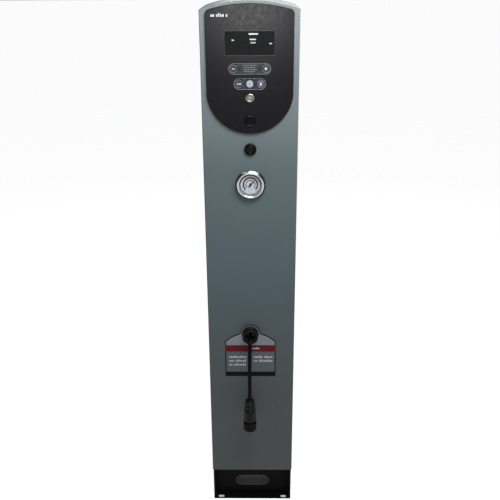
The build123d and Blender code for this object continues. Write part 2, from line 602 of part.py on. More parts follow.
HOSE_IN = 4.0            # the hose's end behind the column's front
HOSE_X = OUTLET_X - 2.0
COUPLER_Y = FRONT - 45.0
COUPLER_TOP = OUTLET_Z - 186.4
HOSE_ROUTE = [(0, 4, 0), (0, -13, 0), (-0.4, -30, -4.5), (-0.8, -42.5, -17), (-1.2, -47.5, -36),
              (-1.7, -47, -67), (-2, -45, -127), (-2, -45, -186.4)]   # from the outlet's centre
HOSE_POINTS = [(OUTLET_X + x, FRONT + y, OUTLET_Z + z) for x, y, z in HOSE_ROUTE]


def outlet_fitting():
    """Threaded hose tail behind the fairlead's neck; its nose meets the hose's end."""
    y1 = FRONT + FAIR_THREAD_L
    body = along_y(FAIR_BORE_D - 1, FRONT + HOSE_IN, y1, OUTLET_X, OUTLET_Z)
    body += hex_y(22, y1, y1 + 8, OUTLET_X, OUTLET_Z)
    body += along_y(13, y1 + 8, y1 + 20, OUTLET_X, OUTLET_Z)
    return body


COUPLER_LOW = COUPLER_TOP - COUPLER_L
SLEEVE_LOW = COUPLER_LOW - SLEEVE_LIP
SLEEVE_TOP = SLEEVE_LOW + SLEEVE_L
BOOT_LOW = SLEEVE_TOP + SLEEVE_TRAVEL + 0.5
SKIRT_TOP = BOOT_LOW + SLEEVE_NECK_L + 0.5


def coupler_boot():
    """Rubber boot: neck with three rings, and a hollow skirt that the sleeve's neck slides into."""
    neck, skirt, core = COUPLER_TOP_D / 2, COUPLER_LOW_D / 2, COUPLER_CORE_D / 2
    top, socket, room = COUPLER_TOP, BOOT_LOW + BOOT_SOCKET, SLEEVE_NECK_D / 2 + 0.5
    outline = [(HOSE_D / 2, top), (neck - 4, top), (neck - 0.8, top - 3), (neck, top - 6)]
    for i in range(BOOT_RINGS):
        r, z = neck + 1.3 * i, top - 7 - BOOT_RING_PITCH * i
        outline += [(r - 0.8, z), (r + 0.9, z - 1), (r + 0.9, z - 4), (r - 0.2, z - 5)]
    outline += [(skirt - 1.8, top - 36), (skirt, BOOT_LOW + 2), (skirt - 1, BOOT_LOW), (room, BOOT_LOW),
                (room, SKIRT_TOP), (core, SKIRT_TOP), (core, socket), (HOSE_D / 2, socket)]
    return turned_z(outline, HOSE_X, COUPLER_Y)


def coupler_body():
    """Socket of the quick coupler: core, hose barb end and the bore that takes a plug."""
    core, bore, barb = COUPLER_CORE_D / 2, COUPLER_BORE_D / 2, HOSE_D / 2
    low, bore_end, socket = COUPLER_LOW, COUPLER_LOW + COUPLER_BORE_L, BOOT_LOW + BOOT_SOCKET
    return turned_z([(0, COUPLER_TOP), (0, bore_end), (bore, bore_end), (bore, low), (core - 1, low),
                     (core, low + 1), (core, socket), (barb, socket), (barb, COUPLER_TOP)], HOSE_X, COUPLER_Y)


def coupler_sleeve():
    """Fluted release sleeve that slides up the core, its neck into the boot's skirt."""
    sleeve = along_z(SLEEVE_D, SLEEVE_LOW, SLEEVE_TOP, HOSE_X, COUPLER_Y)
    sleeve = fillet(sleeve.edges().filter_by(GeomType.CIRCLE), 2.0)
    sleeve += along_z(SLEEVE_NECK_D, SLEEVE_TOP - 1, SLEEVE_TOP + SLEEVE_NECK_L, HOSE_X, COUPLER_Y)
    sleeve -= along_z(COUPLER_CORE_D + RUN, SLEEVE_LOW - 1, SLEEVE_TOP + SLEEVE_NECK_L + 1, HOSE_X, COUPLER_Y)
    reach = SLEEVE_D / 2 + 0.6
    for i in range(SLEEVE_GRIPS):
        angle = 2 * math.pi * i / SLEEVE_GRIPS
        x, y = HOSE_X + reach * math.cos(angle), COUPLER_Y + reach * math.sin(angle)
        sleeve -= along_z(5, SLEEVE_LOW - 1, SLEEVE_TOP - 6, x, y)
    return sleeve


# ---------------------------------------------------------------- rear door
DOOR_IN = BACK + DOOR_GAP
DOOR_OUT = DOOR_IN + DOOR_T
DOOR_FREE_X = -HALF + DOOR_EDGE
HINGE_X = HALF - HINGE_INSET
HINGE_Y = DOOR_IN + KNUCKLE_D / 2
HINGE_LOW, HINGE_HIGH = BASE_H + HINGE_END, SHOULDER - HINGE_END
DOOR_MID_Z = (HINGE_LOW + HINGE_HIGH) / 2
HINGE_Z = (HINGE_LOW, DOOR_MID_Z, HINGE_HIGH)
DOOR_HINGE_X = HINGE_X - KNUCKLE_D / 2 - 0.5
DOOR_MID_X = (DOOR_FREE_X + DOOR_HINGE_X) / 2
DOOR_LOCK_X, DOOR_LOCK_Z = DOOR_FREE_X + DOOR_LOCK_INSET, DOOR_MID_Z
VENT_LOW, VENT_HIGH = DOOR_LOW + 108.0, DOOR_HIGH - 198.0


def rear_door():
    body = block(DOOR_FREE_X, DOOR_HINGE_X, DOOR_IN, DOOR_OUT, DOOR_LOW, DOOR_HIGH)
    body -= along_y(LOCK_BARREL_D, DOOR_IN - 1, DOOR_OUT + 1, DOOR_LOCK_X, DOOR_LOCK_Z)
    for row in range(VENT_ROWS):
        for base in (VENT_LOW, VENT_HIGH):
            z = base + VENT_PITCH * row
            body -= slot_y(VENT_L, VENT_W, DOOR_IN - 1, DOOR_OUT + 1, DOOR_MID_X, z)
    return body


def door_stiffener():
    """Hat channel welded inside the door, between the vents."""
    x, half, brim, t = DOOR_MID_X, STIFF_W / 2, STIFF_W / 2 + STIFF_FLANGE, STIFF_T
    z0, z1 = VENT_LOW + VENT_PITCH * VENT_ROWS + 32, VENT_HIGH - 40
    body = block(x - brim, x + brim, DOOR_IN - t, DOOR_IN, z0, z1)
    body += block(x - half, x + half, DOOR_IN - STIFF_DEPTH, DOOR_IN, z0, z1)
    return body - block(x - half + t, x + half - t, DOOR_IN - STIFF_DEPTH + t, DOOR_IN + 1, z0 - 1, z1 + 1)


def door_seal():
    """Foam frame on the door's inside, round the opening."""
    x0, x1 = -RETURN_X - 10, DOOR_HINGE_X - 1
    z0, z1 = DOOR_LOW + 4, DOOR_HIGH - 4
    w = 8.0
    frame = block(x0, x1, BACK + SOFT_GAP, DOOR_IN, z0, z1)
    return frame - block(x0 + w, x1 - w, BACK, DOOR_IN + 1, z0 + w, z1 - w)


def hinge_knuckle(z0, bore):
    """A knuckle's barrel, and the bore to cut from it."""
    barrel = along_z(KNUCKLE_D, z0, z0 + KNUCKLE_L, HINGE_X, HINGE_Y)
    return barrel, along_z(bore, z0 - 1, z0 + KNUCKLE_L + 1, HINGE_X, HINGE_Y)


def hinge_leaves_column():
    leaves = []
    for z in HINGE_Z:
        z0 = z - KNUCKLE_L
        barrel, bore = hinge_knuckle(z0, PIN_D)
        leaf = block(HINGE_X + 1, HALF - BEND_R, BACK, BACK + DOOR_GAP - 0.5, z - KNUCKLE_L, z + KNUCKLE_L)
        arm = block(HINGE_X + 0.5, HINGE_X + 4, BACK, HINGE_Y, z0, z0 + KNUCKLE_L)
        leaves.append(leaf + barrel + arm - bore)
    return leaves


def hinge_leaves_door():
    leaves = []
    for z in HINGE_Z:
        barrel, bore = hinge_knuckle(z + 0.2, PIN_D + RUN)
        leaf = block(HINGE_X - 28, HINGE_X - 1, DOOR_OUT, DOOR_OUT + LEAF_T, z - KNUCKLE_L + 2, z + KNUCKLE_L)
        free_x = HINGE_X - KNUCKLE_D / 2 - 1.5
        free = block(free_x, HINGE_X, DOOR_OUT - 1, HINGE_Y + 6, z - KNUCKLE_L - 1, z + 0.2)
        leaves.append(leaf - free + barrel - bore)
    return leaves


def hinge_pins():
    return [along_z(PIN_D, z - KNUCKLE_L, z + KNUCKLE_L - 2, HINGE_X, HINGE_Y) for z in HINGE_Z]


def door_lock_body():
    bore, head, barrel = LOCK_PLUG_D / 2 + RUN_FIT, LOCK_HEAD_D / 2, LOCK_BARREL_D / 2
    face, end = DOOR_OUT + DOOR_LOCK_HEAD_T, DOOR_OUT - DOOR_LOCK_DEPTH
    return turned_y([(bore, face), (head - 1, face), (head, face - 1), (head, DOOR_OUT), (barrel, DOOR_OUT),
                     (barrel, end), (bore, end)], DOOR_LOCK_X, DOOR_LOCK_Z)


def door_lock_nut():
    y0 = DOOR_IN - NUT_T
    nut = hex_y(LOCK_BARREL_D + 5, y0, DOOR_IN, DOOR_LOCK_X, DOOR_LOCK_Z)
    return nut - along_y(LOCK_BARREL_D, y0 - 1, DOOR_IN + 1, DOOR_LOCK_X, DOOR_LOCK_Z)


def door_lock_plug():
    """Plug with its cam, which hangs down when the lock is open."""
    x, z = DOOR_LOCK_X, DOOR_LOCK_Z
    y, face = DOOR_OUT - DOOR_LOCK_DEPTH, DOOR_OUT + DOOR_LOCK_HEAD_T
    body = along_y(LOCK_PLUG_D, y - 4, face, x, z)
    body -= block(x - KEYWAY_W / 2, x + KEYWAY_W / 2, face - KEYWAY_DEPTH + 1, face + 1,
                  z - KEYWAY_H / 2, z + KEYWAY_H / 2)
    return body + plate(Pos(x, z - 12) * Rectangle(12, 36), y - 0.8 - CAM_T, y - 0.8)


# ---------------------------------------------------------------- equipment inside
PLATE_Y = INLET_Y - PLATE_STANDOFF
PLATE_BACK = PLATE_Y + PLATE_T
PLATE_FLANGE = 20.0      # depth of its side flanges


def mounting_plate():
    """Plate between the column's sides, flanged backwards, with a window behind the hose outlet."""
    body = block(-INNER, INNER, PLATE_Y, PLATE_BACK, PLATE_LOW, PLATE_HIGH)
    for x in (-INNER, INNER - PLATE_T):
        body += block(x, x + PLATE_T, PLATE_Y, PLATE_Y + PLATE_FLANGE, PLATE_LOW, PLATE_HIGH)
    x, z, half = OUTLET_X, OUTLET_Z, 40.0
    return body - block(x - half, x + half, PLATE_Y - 1, PLATE_BACK + 1, z - half, z + half)


def power_supply():
    """Finned supply under the plate's top edge."""
    high, depth = PLATE_HIGH - 30, 38.0
    low = high - 160
    body = block(-50, 50, PLATE_BACK, PLATE_BACK + depth, low, high)
    for i in range(9):
        z = low + 16 + 14 * i
        body -= block(-40, 40, PLATE_BACK + depth - 8, PLATE_BACK + depth + 1, z, z + 6)
    return body


def terminal_block():
    """Strip of ten wire wells below the supply."""
    low, depth = PLATE_HIGH - 260, 26.0
    body = block(-60, 60, PLATE_BACK, PLATE_BACK + depth, low, low + 32)
    for i in range(10):
        x = -57 + 11.6 * i
        body -= block(x, x + 8.5, PLATE_BACK + depth - 6, PLATE_BACK + depth + 1, low + 6, low + 26)
    return body


VALVE_Z = OUTLET_Z + 121.0      # solenoid valve block
VALVE_X = (-28.0, 28.0)
VALVE_W, VALVE_H = 120.0, 36.0
PORT_Y = PLATE_BACK + 17.0      # axis of its ports and cores
VALVE_TOP = VALVE_Z + VALVE_H / 2
CORE_D, CORE_L = 12.0, 34.0     # tube that the coil sits on
PLUNGER_D, PLUNGER_L = 8.0, 33.0


def valve_block():
    body = block(-VALVE_W / 2, VALVE_W / 2, PLATE_BACK, PORT_Y + 17, VALVE_Z - VALVE_H / 2, VALVE_TOP)
    for x in VALVE_X:
        body += along_z(CORE_D, VALVE_TOP, VALVE_TOP + CORE_L, x, PORT_Y)
        body -= along_z(PLUNGER_D + RUN, VALVE_TOP - 6, VALVE_TOP + CORE_L - 2, x, PORT_Y)
    return body


def solenoid_coils():
    coils = []
    for x in VALVE_X:
        body = block(x - 15, x + 15, PORT_Y - 15, PORT_Y + 15, VALVE_TOP, VALVE_TOP + 32)
        coils.append(body - along_z(CORE_D, VALVE_TOP - 1, VALVE_TOP + 33, x, PORT_Y))
    return coils


def solenoid_plunger(x):
    return along_z(PLUNGER_D, VALVE_TOP - 6, VALVE_TOP - 6 + PLUNGER_L, x, PORT_Y)


def silencer():
    side = -VALVE_W / 2
    return along_x(10, side - 12, side, PORT_Y, VALVE_Z) + along_x(16, side - 40, side - 12, PORT_Y, VALVE_Z)


def pressure_sensor():
    side = VALVE_W / 2
    return along_x(12, side, side + 12, PORT_Y, VALVE_Z) + along_x(22, side + 12, side + 44, PORT_Y, VALVE_Z)


FILTER_Z = OUTLET_Z - 149.0     # filter and regulator
FILTER_Y = PLATE_BACK + 30
FILTER_HALF = 24.0
STEM_D = 10.0                   # regulator stem
REGULATOR_TOP = FILTER_Z + 50.0


def filter_body():
    body = block(-FILTER_HALF, FILTER_HALF, FILTER_Y - 22, FILTER_Y + 22, FILTER_Z - 20, FILTER_Z + 20)
    body += along_z(36, FILTER_Z + 20, REGULATOR_TOP, 0, FILTER_Y)
    body += block(-30, 30, PLATE_BACK, FILTER_Y - 22, FILTER_Z + 2, FILTER_Z + 14)
    body += block(-FILTER_HALF, FILTER_HALF, PLATE_BACK, FILTER_Y - 20, FILTER_Z - 10, FILTER_Z + 16)
    return body - along_z(STEM_D + RUN, REGULATOR_TOP - 12, REGULATOR_TOP + 1, 0, FILTER_Y)


def filter_bowl():
    top = FILTER_Z - 20
    return turned_z([(0, top - 70), (10, top - 68), (18, top - 56), (20, top), (17.5, top), (15.5, top - 55),
                     (8, top - 65), (0, top - 66)], 0, FILTER_Y)


def regulator_knob():
    """Ribbed knob over the bonnet, on a stem in its bore."""
    low, high, ribs = REGULATOR_TOP + 0.5, REGULATOR_TOP + 28, 12
    knob = along_z(38, low, high, 0, FILTER_Y)
    knob = fillet(knob.edges().sort_by(Axis.Z)[-1], 3)
    for i in range(ribs):
        angle = 2 * math.pi * i / ribs
        knob -= along_z(4, low + 2.5, high + 1, 20 * math.cos(angle), FILTER_Y + 20 * math.sin(angle))
    return knob + along_z(STEM_D, REGULATOR_TOP - 10, REGULATOR_TOP + 1, 0, FILTER_Y)


BALL_Z = PLATE_LOW + 40.0
BALL_HALF = 30.0                # half the valve's length
LEVER_SHAFT_D = 6.0


def ball_valve():
    x, y = INLET_X, INLET_Y
    body = along_z(24, BALL_Z - 22, BALL_Z + 22, x, y)
    body += hex_z(24, BALL_Z - BALL_HALF, BALL_Z - 20, x, y)
    body += hex_z(24, BALL_Z + 20, BALL_Z + BALL_HALF, x, y)
    body += along_y(14, y, y + 20, x, BALL_Z)
    body += block(x - 8, x + 8, PLATE_BACK, y, BALL_Z - 8, BALL_Z + 8)
    return body - along_y(LEVER_SHAFT_D + RUN, y + 8, y + 21, x, BALL_Z)


def valve_lever():
    shaft = along_y(LEVER_SHAFT_D, INLET_Y + 10, INLET_Y + 24, INLET_X, BALL_Z)
    handle = Pos(INLET_X, BALL_Z + 25) * SlotOverall(70, 14, rotation=90)
    return shaft + plate(handle, INLET_Y + 20.5, INLET_Y + 24)


INLET_TOP = BASE_H + 22.0


def inlet_fitting():
    """Bulkhead union through the bottom plate, with a female thread below."""
    x, y = INLET_X, INLET_Y
    low = BASE_H - INLET_THREAD_L - 2
    body = along_z(INLET_BODY_D, low, INLET_TOP, x, y)
    body += hex_z(22, BASE_H - 8, BASE_H, x, y)
    body += hex_z(22, BASE_H + BOTTOM_T, BASE_H + BOTTOM_T + 6, x, y)
    return body - along_z(INLET_THREAD_D, low - 1, low + INLET_THREAD_L, x, y)


def mains_gland():
    x, y = -INLET_X, INLET_Y
    body = along_z(GLAND_D, BASE_H - 12, BASE_H + 12, x, y)
    body += hex_z(27, BASE_H - 10, BASE_H, x, y)
    body += hex_z(27, BASE_H + BOTTOM_T, BASE_H + BOTTOM_T + 5, x, y)
    return body - along_z(GLAND_BORE_D, BASE_H - 13, BASE_H + 13, x, y)


def air_tubes():
    """Push-in tubes: inlet to ball valve, on to the filter, the valve block and the outlet."""
    low_port = VALVE_Z - VALVE_H / 2
    routes = {
        "feed": [(INLET_X, INLET_Y, BALL_Z + BALL_HALF), (INLET_X, INLET_Y, FILTER_Z - 105),
                 (-59, FILTER_Y, FILTER_Z - 34), (-46, FILTER_Y, FILTER_Z), (-FILTER_HALF, FILTER_Y, FILTER_Z)],
        "supply": [(FILTER_HALF, FILTER_Y, FILTER_Z), (48, FILTER_Y, FILTER_Z), (66, FILTER_Y, FILTER_Z + 22),
                   (68, FILTER_Y - 2, FILTER_Z + 90), (50, PORT_Y + 3, VALVE_Z - 100),
                   (40, PORT_Y, VALVE_Z - 55), (40, PORT_Y, low_port)],
        "outlet": [(OUTLET_X, y, z) for y, z in
                   ((PORT_Y, low_port), (PORT_Y, OUTLET_Z + 71), (PLATE_Y + 8, OUTLET_Z + 33),
                    (PLATE_Y - 20, OUTLET_Z + 9), (PLATE_Y - 60, OUTLET_Z),
                    (FRONT + FAIR_THREAD_L + 20, OUTLET_Z))],
    }
    solids = [along_z(TUBE_D, INLET_TOP, BALL_Z - BALL_HALF, INLET_X, INLET_Y)]
    for name, points in routes.items():
        solids.append(tube(points, route_radii(points), TUBE_D, name))
    return solids


hose = tube(HOSE_POINTS, route_radii(HOSE_POINTS), HOSE_D, "air_hose")

write("column_shell", column_shell())
write("top_cover", top_cover())
write("bottom_plate", bottom_plate())
write("base_brackets", base_bracket(), Rot(0, 0, 180) * base_bracket())
write("base_side_plates", *base_side_plates())
write("base_bolts", *base_bolts())
write("control_panel", control_panel())
write("display_window", display_window())
write("display_module", display_module())
write("control_board", control_board(), *board_posts())
write("keypad_mat", keypad_mat())
for name, place in KEYS.items():
    write(name, key(*place))
write("key_lock_body", lock_body())
write("key_lock_plug", lock_plug(), lock_cam())
write("ring_nuts", *ring_nuts())
write("round_badge", along_y(BADGE_D, PANEL_FACE - BADGE_T, PANEL_FACE, 0, BADGE_Z))
write("button_collar", button_collar())
write("button_cap", button_cap())
write("button_spring", button_spring())
write("button_contact_block", contact_block())
write("gauge_case", gauge_case())
write("gauge_bezel", gauge_bezel())
write("gauge_lens", gauge_lens())
write("gauge_dial", gauge_dial())
write("gauge_movement", gauge_movement())
write("gauge_pointer", gauge_pointer())
write("gauge_clamp", gauge_clamp(), *gauge_nuts())
write("outlet_label", outlet_label())
write("hose_fairlead", hose_fairlead())
write("outlet_fitting", outlet_fitting())
write("air_hose", hose)
write("coupler_boot", coupler_boot())
write("coupler_body", coupler_body())
write("coupler_sleeve", coupler_sleeve())
write("rear_door", rear_door(), door_stiffener())
write("door_seal", door_seal())
write("hinge_leaves_column", *hinge_leaves_column(), *hinge_pins())
write("hinge_leaves_door", *hinge_leaves_door())
write("door_lock_body", door_lock_body(), door_lock_nut())
write("door_lock_plug", door_lock_plug())
write("mounting_plate", mounting_plate())
write("power_supply", power_supply())
write("terminal_block", terminal_block())
write("valve_block", valve_block(), silencer())
write("solenoid_coils", *solenoid_coils())
for name, x in zip(("plunger_inflate", "plunger_deflate"), VALVE_X):
    write(name, solenoid_plunger(x))
write("pressure_sensor", pressure_sensor())
write("filter_body", filter_body())
write("filter_bowl", filter_bowl())
write("regulator_knob", regulator_knob())
write("ball_valve", ball_valve())
write("ball_valve_lever", valve_lever())
write("inlet_fitting", inlet_fitting())
write("mains_gland", mains_gland())
write("air_tubes", *air_tubes())
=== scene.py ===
import math

import bmesh
import bpy
import numpy as np
from mathutils import Matrix, Vector


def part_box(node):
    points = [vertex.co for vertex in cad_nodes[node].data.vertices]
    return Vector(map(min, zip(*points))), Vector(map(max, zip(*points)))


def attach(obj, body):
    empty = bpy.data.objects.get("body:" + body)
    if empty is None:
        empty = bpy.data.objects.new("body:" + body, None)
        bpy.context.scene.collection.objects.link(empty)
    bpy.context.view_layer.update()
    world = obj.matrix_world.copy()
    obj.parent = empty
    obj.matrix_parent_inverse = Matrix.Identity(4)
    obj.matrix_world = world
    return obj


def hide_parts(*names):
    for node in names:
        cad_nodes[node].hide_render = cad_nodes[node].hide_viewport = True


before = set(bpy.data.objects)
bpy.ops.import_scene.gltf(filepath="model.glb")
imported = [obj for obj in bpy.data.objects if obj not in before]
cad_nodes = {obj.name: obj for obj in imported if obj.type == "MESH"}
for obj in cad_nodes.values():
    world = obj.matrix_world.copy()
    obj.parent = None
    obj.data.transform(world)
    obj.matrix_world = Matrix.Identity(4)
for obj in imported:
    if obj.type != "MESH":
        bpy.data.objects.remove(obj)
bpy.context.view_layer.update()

# ------------------------------------------------------------------ camera, floor and light
# A standing person looks down at the column from its top. The floor is plain and pale and fills the lower
# half with light, save for painted shade under the base. One soft lamp hangs above and in front, so the paint
# falls away towards the floor; the column's paint is also painted lighter towards its top.
eye = bpy.data.cameras.new("eye")
eye.sensor_width = 36.0
eye.lens = 700 / 500 * eye.sensor_width
camera = bpy.data.objects.new("camera", eye)
bpy.context.collection.objects.link(camera)
EYE_PLACE = Vector((0.0225, -1.8587, 1.5261))
TURN, LOOK_DOWN, ROLL = 0.82, 21.82, -0.37
look = Matrix.Rotation(math.radians(TURN), 4, "Z") @ Matrix.Rotation(math.radians(90 - LOOK_DOWN), 4, "X")
camera.matrix_world = Matrix.Translation(EYE_PLACE) @ look @ Matrix.Rotation(math.radians(ROLL), 4, "Z")
bpy.context.scene.camera = camera
bpy.context.scene.view_settings.view_transform = "Standard"

sky = bpy.data.worlds.new("sky")
sky.use_nodes = True
sky.node_tree.nodes["Background"].inputs["Color"].default_value = (0.94, 0.97, 1, 1)
sky.node_tree.nodes["Background"].inputs["Strength"].default_value = 0.16
bpy.context.scene.world = sky


def lamp(name, place, target, width, height, glow):
    """A rectangular soft lamp turned to face target; its power is pi times glow times its area."""
    light = bpy.data.lights.new(name, "AREA")
    light.shape, light.size, light.size_y = "RECTANGLE", width, height
    light.energy = math.pi * glow * width * height
    holder = bpy.data.objects.new(name, light)
    bpy.context.collection.objects.link(holder)
    turn = (Vector(target) - Vector(place)).to_track_quat("-Z", "Y").to_matrix().to_4x4()
    holder.matrix_world = Matrix.Translation(place) @ turn


lamp("top_lamp", (0.30, -0.75, 2.0), (0.08, -0.1, 1.55), 0.9, 0.5, 24.0)
lamp("front_lamp", (-0.03, -3.2, 1.32), (0, 0, 1.4), 0.40, 0.30, 40.0)
lamp("right_lamp", (2.6, -0.3, 1.9), (0, 0, 1.2), 0.8, 1.2, 1.6)
lamp("left_lamp", (-2.6, 0.2, 1.8), (0, 0, 1.2), 0.8, 1.2, 1.2)
lamp("back_lamp", (0.3, 2.4, 2.2), (0, 0, 0.9), 1.4, 1.0, 4.0)


class Signal:
    """One shader socket in an expression: each operator adds the Math node of that name."""

    def __init__(self, finish, socket):
        self.finish, self.socket = finish, socket

    def math(self, operation, *others):
        values = dict(enumerate((self,) + others))
        return self.finish.node("ShaderNodeMath", {"operation": operation}, values)

    def __add__(self, other): return self.math("ADD", other)
    def __sub__(self, other): return self.math("SUBTRACT", other)
    def __mul__(self, other): return self.math("MULTIPLY", other)
    def __truediv__(self, other): return self.math("DIVIDE", other)
    def __rsub__(self, other): return (self * -1) + other

    def clip(self): return self.finish.node("ShaderNodeClamp", {}, {"Value": self})
    def root(self): return self.math("SQRT")

    __radd__, __rmul__ = __add__, __mul__


class Finish:
    """A material being mixed. Constants go on the shader's own sockets, what varies is fed in."""

    def __init__(self, name, colour, roughness=0.5, **constants):
        self.material = bpy.data.materials.new(name)
        self.material.use_nodes = True
        self.tree = self.material.node_tree
        self.shader = self.tree.nodes["Principled BSDF"]
        self.colour = (*colour, 1.0)
        self.shader.inputs["Base Color"].default_value = self.colour
        self.shader.inputs["Roughness"].default_value = roughness
        for socket, value in constants.items():
            self.shader.inputs[socket.replace("_", " ")].default_value = value
        self.material.diffuse_color = self.colour

    def node(self, kind, settings=None, sockets=None, out=0):
        """Any node: its type, its settings first, then the values or links of its sockets."""
        made = self.tree.nodes.new(kind)
        for key, value in (settings or {}).items():
            setattr(made, key, value)
        for key, value in (sockets or {}).items():
            if isinstance(value, Signal):
                self.tree.links.new(value.socket, made.inputs[key])
            else:
                made.inputs[key].default_value = value
        return Signal(self, made.outputs[out])

    def feed(self, socket, signal):
        self.tree.links.new(signal.socket, self.shader.inputs[socket])

    def place(self):
        return self.node("ShaderNodeTexCoord", out="Object")

    def coordinate(self, axis):
        return self.node("ShaderNodeSeparateXYZ", {}, {0: self.place()}, out="XYZ".index(axis))

    def noise(self, scale, detail=2.0, stretch=(1, 1, 1)):
        """Cloudy noise; stretch scales its three directions apart."""
        where = self.node("ShaderNodeMapping", {}, {"Vector": self.place(), "Scale": stretch})
        return self.node("ShaderNodeTexNoise", {}, {"Vector": where, "Scale": scale, "Detail": detail})

    def blend(self, mask, first, second):
        """A colour that goes from first to second with mask; either may be a Signal."""
        ends = [c if isinstance(c, Signal) else (*c[:3], 1.0) for c in (first, second)]
        return self.node("ShaderNodeMix", {"data_type": "RGBA"}, {0: mask, 6: ends[0], 7: ends[1]}, out=2)

    def lighter(self, colour, factor):
        """A colour signal with each channel multiplied."""
        sockets = {0: colour, 1: (factor, factor, factor)}
        return self.node("ShaderNodeVectorMath", {"operation": "MULTIPLY"}, sockets)

    def ramp(self, mask, stops):
        """A colour that goes smoothly through (place, colour) stops as mask grows."""
        band = self.node("ShaderNodeValToRGB", {}, {"Fac": mask})
        elements = band.socket.node.color_ramp.elements
        while len(elements) < len(stops):
            elements.new(0.5)
        for element, (place, colour) in zip(elements, stops):
            element.position, element.color = place, (*colour, 1.0)
        return band

    def tint(self, mask, other):
        self.feed("Base Color", self.blend(mask, self.colour, other))

    def bump(self, height, depth, strength=1.0):
        sockets = {"Height": height, "Distance": depth, "Strength": strength}
        self.feed("Normal", self.node("ShaderNodeBump", {}, sockets))


floor_finish = Finish("pale_floor", (0.25, 0.25, 0.25), 0.95, Specular_IOR_Level=0.1,
                      Emission_Color=(1, 1, 1, 1), Emission_Strength=0.92)
# Painted shade: below the base the floor's glow is turned down, to grey under its flanges and to dark between
# its walls, for the shade the base casts.
BASE_HALF_X, BASE_HALF_Y, BASE_EDGE = 0.119, 0.124, 0.002
WALLS_HALF_Y, WALLS_EDGE = 0.110, 0.008
aside, ahead = [floor_finish.coordinate(axis).math("ABSOLUTE") for axis in "XY"]
below_base = ((BASE_HALF_X - aside) / BASE_EDGE).clip() * ((BASE_HALF_Y - ahead) / BASE_EDGE).clip()
between_walls = ((WALLS_HALF_Y - ahead) / WALLS_EDGE).clip()
painted_floor_shade = floor_finish.blend(between_walls, (0.28, 0.28, 0.28), (0.020, 0.020, 0.020))
floor_finish.feed("Emission Color", floor_finish.blend(below_base, (1, 1, 1), painted_floor_shade))
floor_mesh = bpy.data.meshes.new("floor")
floor_mesh.from_pydata([(-40, -40, 0), (40, -40, 0), (40, 40, 0), (-40, 40, 0)], [], [(0, 1, 2, 3)])
floor_mesh.materials.append(floor_finish.material)
floor = bpy.data.objects.new("floor", floor_mesh)
bpy.context.collection.objects.link(floor)

# ------------------------------------------------------------------ air hose
# A short rubber air hose of 10 mm. It leaves the bell mouth straight, turns down over its lip under its own
# weight and hangs free, with the quick coupler on its end.
HOSE_WIDTH = 0.010
HOSE_ROUTE = [(-0.003, -0.121, 0.579), (-0.003, -0.138, 0.579), (-0.0034, -0.155, 0.5745),
              (-0.0038, -0.1675, 0.562), (-0.0042, -0.1725, 0.543), (-0.0047, -0.172, 0.512),
              (-0.005, -0.17, 0.452), (-0.005, -0.17, 0.3926)]
BLACK = (0.0018, 0.0018, 0.0019)


def shade(colour, factor):
    return tuple(min(1.0, c * factor) for c in colour)


def rubber(name, colour, roughness=0.55, grain=1500.0, depth=0.00006, **constants):
    """Moulded rubber: matte, with a fine skin texture and greyish dust in it."""
    soft = Finish(name, colour, roughness, **constants)
    soft.tint(soft.noise(120.0, 3.0) * 1.8 - 0.6, shade(colour, 1.9))
    soft.feed("Roughness", soft.noise(300.0) * 0.2 + (roughness - 0.1))
    soft.bump(soft.noise(grain), depth, 0.6)
    return soft.material


hose_curve = bpy.data.curves.new("air_hose_line", "CURVE")
hose_curve.dimensions = "3D"
hose_line = hose_curve.splines.new("NURBS")
hose_line.points.add(len(HOSE_ROUTE) - 1)
for point, place in zip(hose_line.points, HOSE_ROUTE):
    point.co = (*place, 1.0)
hose_line.order_u = 3
hose_line.use_endpoint_u = True
hose_curve.resolution_u = 24
hose_curve.bevel_depth = HOSE_WIDTH / 2
hose_curve.bevel_resolution = 10
hose_curve.use_fill_caps = True
hose_curve.materials.append(rubber("hose_rubber", BLACK, 0.24, 420.0, 0.0004, Specular_IOR_Level=0.03))
hose = bpy.data.objects.new("hose", hose_curve)
bpy.context.collection.objects.link(hose)
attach(hose, "housing")
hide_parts("air_hose")


# ------------------------------------------------------------------ coupler on the hose
# A quick coupler in black: a moulded rubber boot with three rings over the hose end, and below it the fluted
# sleeve that slides up to release the plug. Both are round pieces whose radius follows height and angle.
def finish_mesh(name, points, faces, material, body, sharp=32.0):
    """A piece from arrays of points and faces: doubles merged, normals outward, edges sharp past an angle."""
    mesh = bpy.data.meshes.new(name)
    mesh.from_pydata(np.asarray(points).tolist(), [], [list(f) for f in faces])
    work = bmesh.new()
    work.from_mesh(mesh)
    bmesh.ops.remove_doubles(work, verts=work.verts, dist=2e-6)
    bmesh.ops.recalc_face_normals(work, faces=work.faces)
    work.to_mesh(mesh)
    work.free()
    mesh.shade_smooth()
    mesh.set_sharp_from_angle(angle=math.radians(sharp))
    mesh.materials.append(material)
    piece = bpy.data.objects.new(name, mesh)
    bpy.context.collection.objects.link(piece)
    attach(piece, body)
    return piece


def replacing(node):
    """The piece stands for a CAD node, which is hidden."""
    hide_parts(node)


def grid_faces(rows, columns):
    """Quads of a grid whose columns close into a ring."""
    row, column = np.meshgrid(np.arange(rows - 1), np.arange(columns), indexing="ij")
    a = row * columns + column
    b = row * columns + (column + 1) % columns
    return np.stack([a, b, b + columns, a + columns], axis=-1).reshape(-1, 4).tolist()


